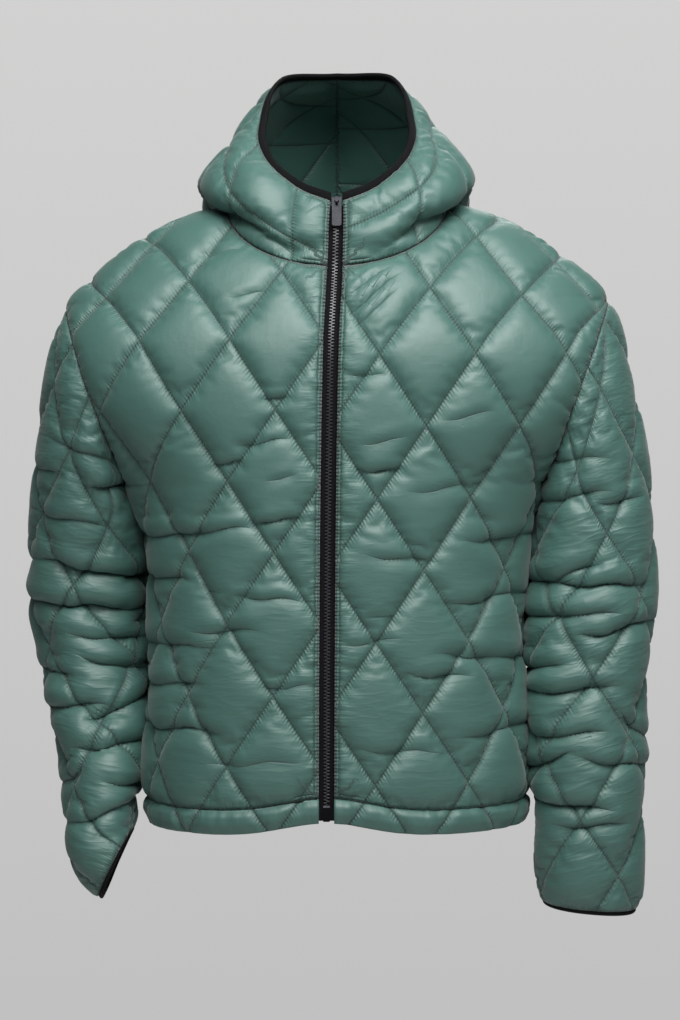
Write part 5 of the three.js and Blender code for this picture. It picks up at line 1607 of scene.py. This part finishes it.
def material(key):
    """The coat's material by its key, made on first use."""
    if not EFFECTS:
        EFFECTS["gathers"] = effect(
            "Stitch Gathers",
            [("Across", "Float", 0.0), ("Along", "Float", 0.0), ("Seed", "Float", 0.0),
             ("Pleat", "Float", 5.0), ("Reach", "Float", 9.0), ("Depth", "Float", 1.0)],
            [("Height", "Float"), ("Line", "Float")],
            make_gathers,
        )
        EFFECTS["weave"] = effect(
            "Fine Weave",
            [("Place", "Vector", None), ("Threads", "Float", 1000.0), ("Depth", "Float", 0.02)],
            [("Height", "Float")],
            make_weave,
        )
        EFFECTS["creases"] = effect(
            "Soft Creases",
            [("Place", "Vector", None), ("Upright", "Float", 0.0), ("Depth", "Float", 0.5)],
            [("Height", "Float")],
            make_creases,
        )
    if key not in MATERIALS:
        colours = bpy.context.scene.coat_colours
        makers = {
            "nylon": lambda: make_nylon("Sage Nylon", colours.nylon, EFFECTS),
            "elastic": lambda: make_woven("Black Elastic", colours.elastic, EFFECTS, 700.0, 0.72),
            "tape": lambda: make_woven("Zip Tape", colours.tape, EFFECTS, 900.0, 0.65),
            "teeth": lambda: make_hard("Moulded Teeth", colours.teeth, 0.28, 0.0, 0.08),
            "gunmetal": lambda: make_hard("Gunmetal", colours.metal, 0.42, 1.0, 0.12),
            "thread": lambda: make_thread("Sage Thread", colours.thread),
        }
        MATERIALS[key] = makers[key]()
    return MATERIALS[key]


def finish_piece(obj, key):
    """Gives a piece its material and makes it ride on the coat."""
    obj.data.materials.clear()
    obj.data.materials.append(material(key))
    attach(obj, "coat")
    return obj


# ---- sizes and colours that a user may change ----
def length(name, default, low, high, description):
    return bpy.props.FloatProperty(
        name=name, description=description, default=default, min=low, max=high,
        subtype="DISTANCE", unit="LENGTH",
    )


def colour(name, description, default):
    return bpy.props.FloatVectorProperty(
        name=name, description=description, default=default, min=0, max=1,
        size=3, subtype="COLOR",
    )


class CoatSizes(bpy.types.PropertyGroup):
    """Sizes of the padding, stitches and zip."""

    puff: length(
        "Puff", 0.0095, 0.002, 0.03,
        "Height of a diamond's middle over its stitch lines",
    )
    cap: length(
        "Highest puff", 0.0095, 0.002, 0.04,
        "Height that no cloth rises past",
    )
    cells: bpy.props.IntProperty(
        name="Cells", description="Grid cells along each side of a diamond",
        default=24, min=6, max=40,
    )
    pressure: bpy.props.FloatProperty(
        name="Pressure", description="Push of the filling on the cloth",
        default=700, min=0, max=9000,
    )
    frames: bpy.props.IntProperty(
        name="Frames", description="Steps of the filling's simulation",
        default=12, min=1, max=60,
    )
    stitch_thickness: length(
        "Stitch thickness", 0.0007, 0.0002, 0.002,
        "Thickness of the thread",
    )
    stitch_rise: length(
        "Stitch rise", 0.0003, 0.0, 0.002,
        "Height of a stitch over the cloth",
    )
    band_step: length(
        "Band step", 0.0032, 0.001, 0.02,
        "Spacing of the mesh along hems and bindings",
    )
    tooth_pitch: length(
        "Tooth pitch", 0.00335, 0.0015, 0.008,
        "Spacing of the zip's teeth on one side",
    )


class CoatColours(bpy.types.PropertyGroup):
    """Colours of the cloth, trims and zip."""

    nylon: colour("Nylon", "Colour of the quilted cloth", (0.056, 0.150, 0.124))
    elastic: colour("Elastic", "Colour of the hood's and cuffs' bindings", (0.006, 0.0062, 0.007))
    tape: colour("Tape", "Colour of the zip's tapes", (0.009, 0.0085, 0.011))
    teeth: colour("Teeth", "Colour of the zip's teeth", (0.03, 0.029, 0.034))
    metal: colour("Metal", "Colour of the slider, pull and box", (0.026, 0.0265, 0.030))
    thread: colour("Thread", "Colour of the sewing thread", (0.085, 0.150, 0.128))


# ---- stage, in metres and watts ----
FLOOR = {"radius": 2.2, "z": -1.45, "colour": (0.62, 0.62, 0.62, 1), "roughness": 0.8}
# the wall's painted light: darker low, lighter high, between WALL_HEIGHTS
WALL_COLOURS = {"low": (0.53, 0.532, 0.53, 1), "high": (0.645, 0.648, 0.64, 1)}
WALL_HEIGHTS = (-0.2, 0.15)
SOFT_LIGHT = {"colour": (0.60, 0.615, 0.62, 1), "strength": 0.11}
# name, place, diameter and power
LIGHTS = (
    ("key", (0.35, -1.15, 1.4), 1.5, 42),
    ("front", (-0.2, -2.7, 2.0), 2.3, 56),
    ("fill", (2.4, -2.0, 0.3), 1.5, 4),
    ("rim", (0.3, 2.6, 1.8), 1.8, 40),
)
LIGHT_AIM = (0, 0, -0.2)
# half_view: half the view's height for each metre of distance
CAMERA = {"place": (0.003, -3, -0.175), "down": 2.16, "half_view": 0.17507724}


def make_floor():
    bm = bmesh.new()
    bmesh.ops.create_circle(bm, cap_ends=True, segments=96, radius=FLOOR["radius"])
    bmesh.ops.translate(bm, vec=(0, 0, FLOOR["z"]), verts=bm.verts)
    floor = new_object("floor", mesh_from(bm, "floor"))
    pale, nodes, shader = new_material("Pale Floor")
    nodes.put(shader.inputs["Base Color"], FLOOR["colour"])
    nodes.put(shader.inputs["Roughness"], FLOOR["roughness"])
    floor.data.materials.append(pale)


def make_studio():
    """A pale wall whose colour grades from darker low to lighter high as painted light, and that
    itself gives only a little soft light.
    """
    world = bpy.data.worlds.new("Studio")
    world.use_nodes = True
    nodes = Nodes(world.node_tree)
    sky = world.node_tree.nodes["Background"]
    dim = nodes.add("Background", Color=SOFT_LIGHT["colour"], Strength=SOFT_LIGHT["strength"])
    height = nodes.split(nodes.add("TexCoord").outputs["Generated"])[2]
    share = nodes.range(height, *WALL_HEIGHTS, 0, 1)
    nodes.put(sky.inputs["Color"], nodes.mix(share, WALL_COLOURS["low"], WALL_COLOURS["high"]))
    both = nodes.add("MixShader")
    nodes.put(both.inputs[0], nodes.add("LightPath").outputs["Is Camera Ray"])
    nodes.put(both.inputs[1], dim.outputs[0])
    nodes.put(both.inputs[2], sky.outputs[0])
    nodes.put(world.node_tree.nodes["World Output"].inputs["Surface"], both.outputs[0])
    return world


# ---- operators ----
class COAT_OT_panels(bpy.types.Operator):
    """Make the seven quilted panels: fronts, back, sleeves and hood"""

    bl_idname = "coat.panels"
    bl_label = "Quilted Panels"

    def execute(self, context):
        sizes = context.scene.coat_sizes
        panels = make_panels()
        for panel in panels:
            start_outer(panel, sizes)
        fill_panels(panels, sizes)
        for panel in panels:
            close_panel(panel)
            finish_piece(panel.obj, "nylon")
            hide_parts(panel.name)
            PANELS[panel.name] = panel
        return {"FINISHED"}


class COAT_OT_stitching(bpy.types.Operator):
    """Sew the thread along the panels' quilting lines"""

    bl_idname = "coat.stitching"
    bl_label = "Stitching"

    def execute(self, context):
        sizes = context.scene.coat_sizes
        for panel in PANELS.values():
            a, b = quilt_stitches(panel).T
            outs = (panel.normal[a] + panel.normal[b]) / 2
            obj = sew(
                panel.name + "_stitches", panel.outer[a], panel.outer[b], outs,
                sizes.stitch_thickness, sizes.stitch_rise,
            )
            finish_piece(obj, "thread")
        for name in ("front_left", "front_right", "hood_left", "hood_right"):
            obj = sew(
                name + "_topstitch", *edge_stitches(PANELS[name]),
                sizes.stitch_thickness, sizes.stitch_rise,
            )
            finish_piece(obj, "thread")
        return {"FINISHED"}


class COAT_OT_hem(bpy.types.Operator):
    """Make the padded channel round the hem"""

    bl_idname = "coat.hem"
    bl_label = "Hem"

    def execute(self, context):
        frames = hem_frames(context.scene.coat_sizes.band_step / MM)
        obj = band("hem", frames, round_profile(HEM_PROFILE, SIDES["hem"]), hem_shape(frames))
        add_uv(obj.data, "seam", np.full((len(obj.data.vertices), 2), FAR_FROM_SEAM))
        finish_piece(obj, "nylon")
        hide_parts("hem_band")
        return {"FINISHED"}


class COAT_OT_bindings(bpy.types.Operator):
    """Make the elastic bindings of the hood and cuffs"""

    bl_idname = "coat.bindings"
    bl_label = "Elastic Bindings"

    def execute(self, context):
        step = context.scene.coat_sizes.band_step / MM
        frames = hood_edge_frames(step)
        obj = band("hood_edge_binding", frames, round_profile(BINDING_PROFILE, SIDES["binding"]))
        finish_piece(obj, "elastic")
        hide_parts("hood_binding")
        for name, cloth, side in (("left", LEFT_SLEEVE, 1), ("right", RIGHT_SLEEVE, -1)):
            frames = cuff_frames(cloth, side, step)
            obj = band("cuff_elastic_" + name, frames, round_profile(CUFF_PROFILE, SIDES["cuff"]))
            finish_piece(obj, "elastic")
            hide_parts("cuff_binding_" + name)
        return {"FINISHED"}


class COAT_OT_tapes(bpy.types.Operator):
    """Make the zip's two woven tapes"""

    bl_idname = "coat.tapes"
    bl_label = "Zip Tapes"

    def execute(self, context):
        step = context.scene.coat_sizes.band_step / MM
        for name, side in (("left", 1), ("right", -1)):
            top = ZIP_LENGTH - TAPE["top_cut"]
            frames = across_zip(zip_frames(TAPE["bottom_cut"], top, step))
            obj = band("zip_tape_cloth_" + name, frames, tape_profile() * (1, side))
            finish_piece(obj, "tape")
            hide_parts("zip_tape_" + name)
        return {"FINISHED"}


class COAT_OT_teeth(bpy.types.Operator):
    """Make the zip's two rows of moulded teeth"""

    bl_idname = "coat.teeth"
    bl_label = "Zip Teeth"

    def execute(self, context):
        pitch = context.scene.coat_sizes.tooth_pitch / MM
        tooth = make_tooth(pitch)
        top = ZIP_LENGTH - TAPE["top_cut"] - CHAIN["under_slider"]
        frames = zip_frames(CHAIN["foot"], top, pitch / 2)
        bm = bmesh.new()
        for number in range(1, len(frames.at) - 1):
            side = 1 if number % 2 else -1
            up, out = Vector(frames.up[number]), Vector(frames.out[number])
            across = out.cross(up) * side
            start = len(bm.verts)
            bm.from_mesh(tooth)
            bm.verts.ensure_lookup_table()
            place = Vector(settle(frames.point[number]))
            for v in bm.verts[start:]:
                v.co = (place + across * v.co.x + out * v.co.y + up * v.co.z) * MM
        bmesh.ops.recalc_face_normals(bm, faces=bm.faces[:])
        obj = new_object("zip_teeth", mesh_from(bm, "zip_teeth"))
        finish_piece(obj, "teeth")
        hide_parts("zip_chain")
        return {"FINISHED"}


class COAT_OT_metal(bpy.types.Operator):
    """Finish the zip's slider, pull and box in gunmetal"""

    bl_idname = "coat.metal"
    bl_label = "Zip Metal"

    def execute(self, context):
        for name in ("zip_slider", "zip_pull", "zip_box"):
            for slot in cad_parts[name].material_slots:
                slot.material = material("gunmetal")
        return {"FINISHED"}


class COAT_OT_stage(bpy.types.Operator):
    """Set the pale floor, the studio lights and the camera"""

    bl_idname = "coat.stage"
    bl_label = "Stage"

    def execute(self, context):
        scene = context.scene
        make_floor()
        scene.world = make_studio()
        for name, place, size, power in LIGHTS:
            light = bpy.data.lights.new(name, "AREA")
            light.shape = "DISK"
            light.size = size
            light.energy = power
            lamp = bpy.data.objects.new(name, light)
            lamp.location = place
            aim = Vector(LIGHT_AIM) - Vector(place)
            lamp.rotation_euler = aim.to_track_quat("-Z", "Y").to_euler()
            scene.collection.objects.link(lamp)
        camera = bpy.data.objects.new("camera", bpy.data.cameras.new("camera"))
        camera.location = CAMERA["place"]
        camera.rotation_euler = (math.radians(90 - CAMERA["down"]), 0, 0)
        camera.data.sensor_fit = "VERTICAL"
        camera.data.angle = 2 * math.atan(CAMERA["half_view"])
        scene.collection.objects.link(camera)
        scene.camera = camera
        scene.view_settings.view_transform = "Standard"
        return {"FINISHED"}


OPERATORS = (
    COAT_OT_panels,
    COAT_OT_stitching,
    COAT_OT_hem,
    COAT_OT_bindings,
    COAT_OT_tapes,
    COAT_OT_teeth,
    COAT_OT_metal,
    COAT_OT_stage,
)


class COAT_PT_coat(bpy.types.Panel):
    """Sizes, colours and pieces of the puffer coat"""

    bl_label = "Puffer Coat"
    bl_space_type = "VIEW_3D"
    bl_region_type = "UI"
    bl_category = "Coat"

    def draw(self, context):
        for group in (context.scene.coat_sizes, context.scene.coat_colours):
            box = self.layout.box()
            for name in group.__annotations__:
                box.prop(group, name)
        for operator in OPERATORS:
            self.layout.operator(operator.bl_idname)


CLASSES = (CoatSizes, CoatColours, *OPERATORS, COAT_PT_coat)


def register():
    for cls in CLASSES:
        bpy.utils.register_class(cls)
    bpy.types.Scene.coat_sizes = bpy.props.PointerProperty(type=CoatSizes)
    bpy.types.Scene.coat_colours = bpy.props.PointerProperty(type=CoatColours)


def unregister():
    del bpy.types.Scene.coat_colours
    del bpy.types.Scene.coat_sizes
    for cls in reversed(CLASSES):
        bpy.utils.unregister_class(cls)


def main():
    register()
    bpy.ops.coat.stage()
    bpy.ops.coat.panels()
    bpy.ops.coat.stitching()
    bpy.ops.coat.hem()
    bpy.ops.coat.bindings()
    bpy.ops.coat.tapes()
    bpy.ops.coat.teeth()
    bpy.ops.coat.metal()


if __name__ == "__main__":
    main()
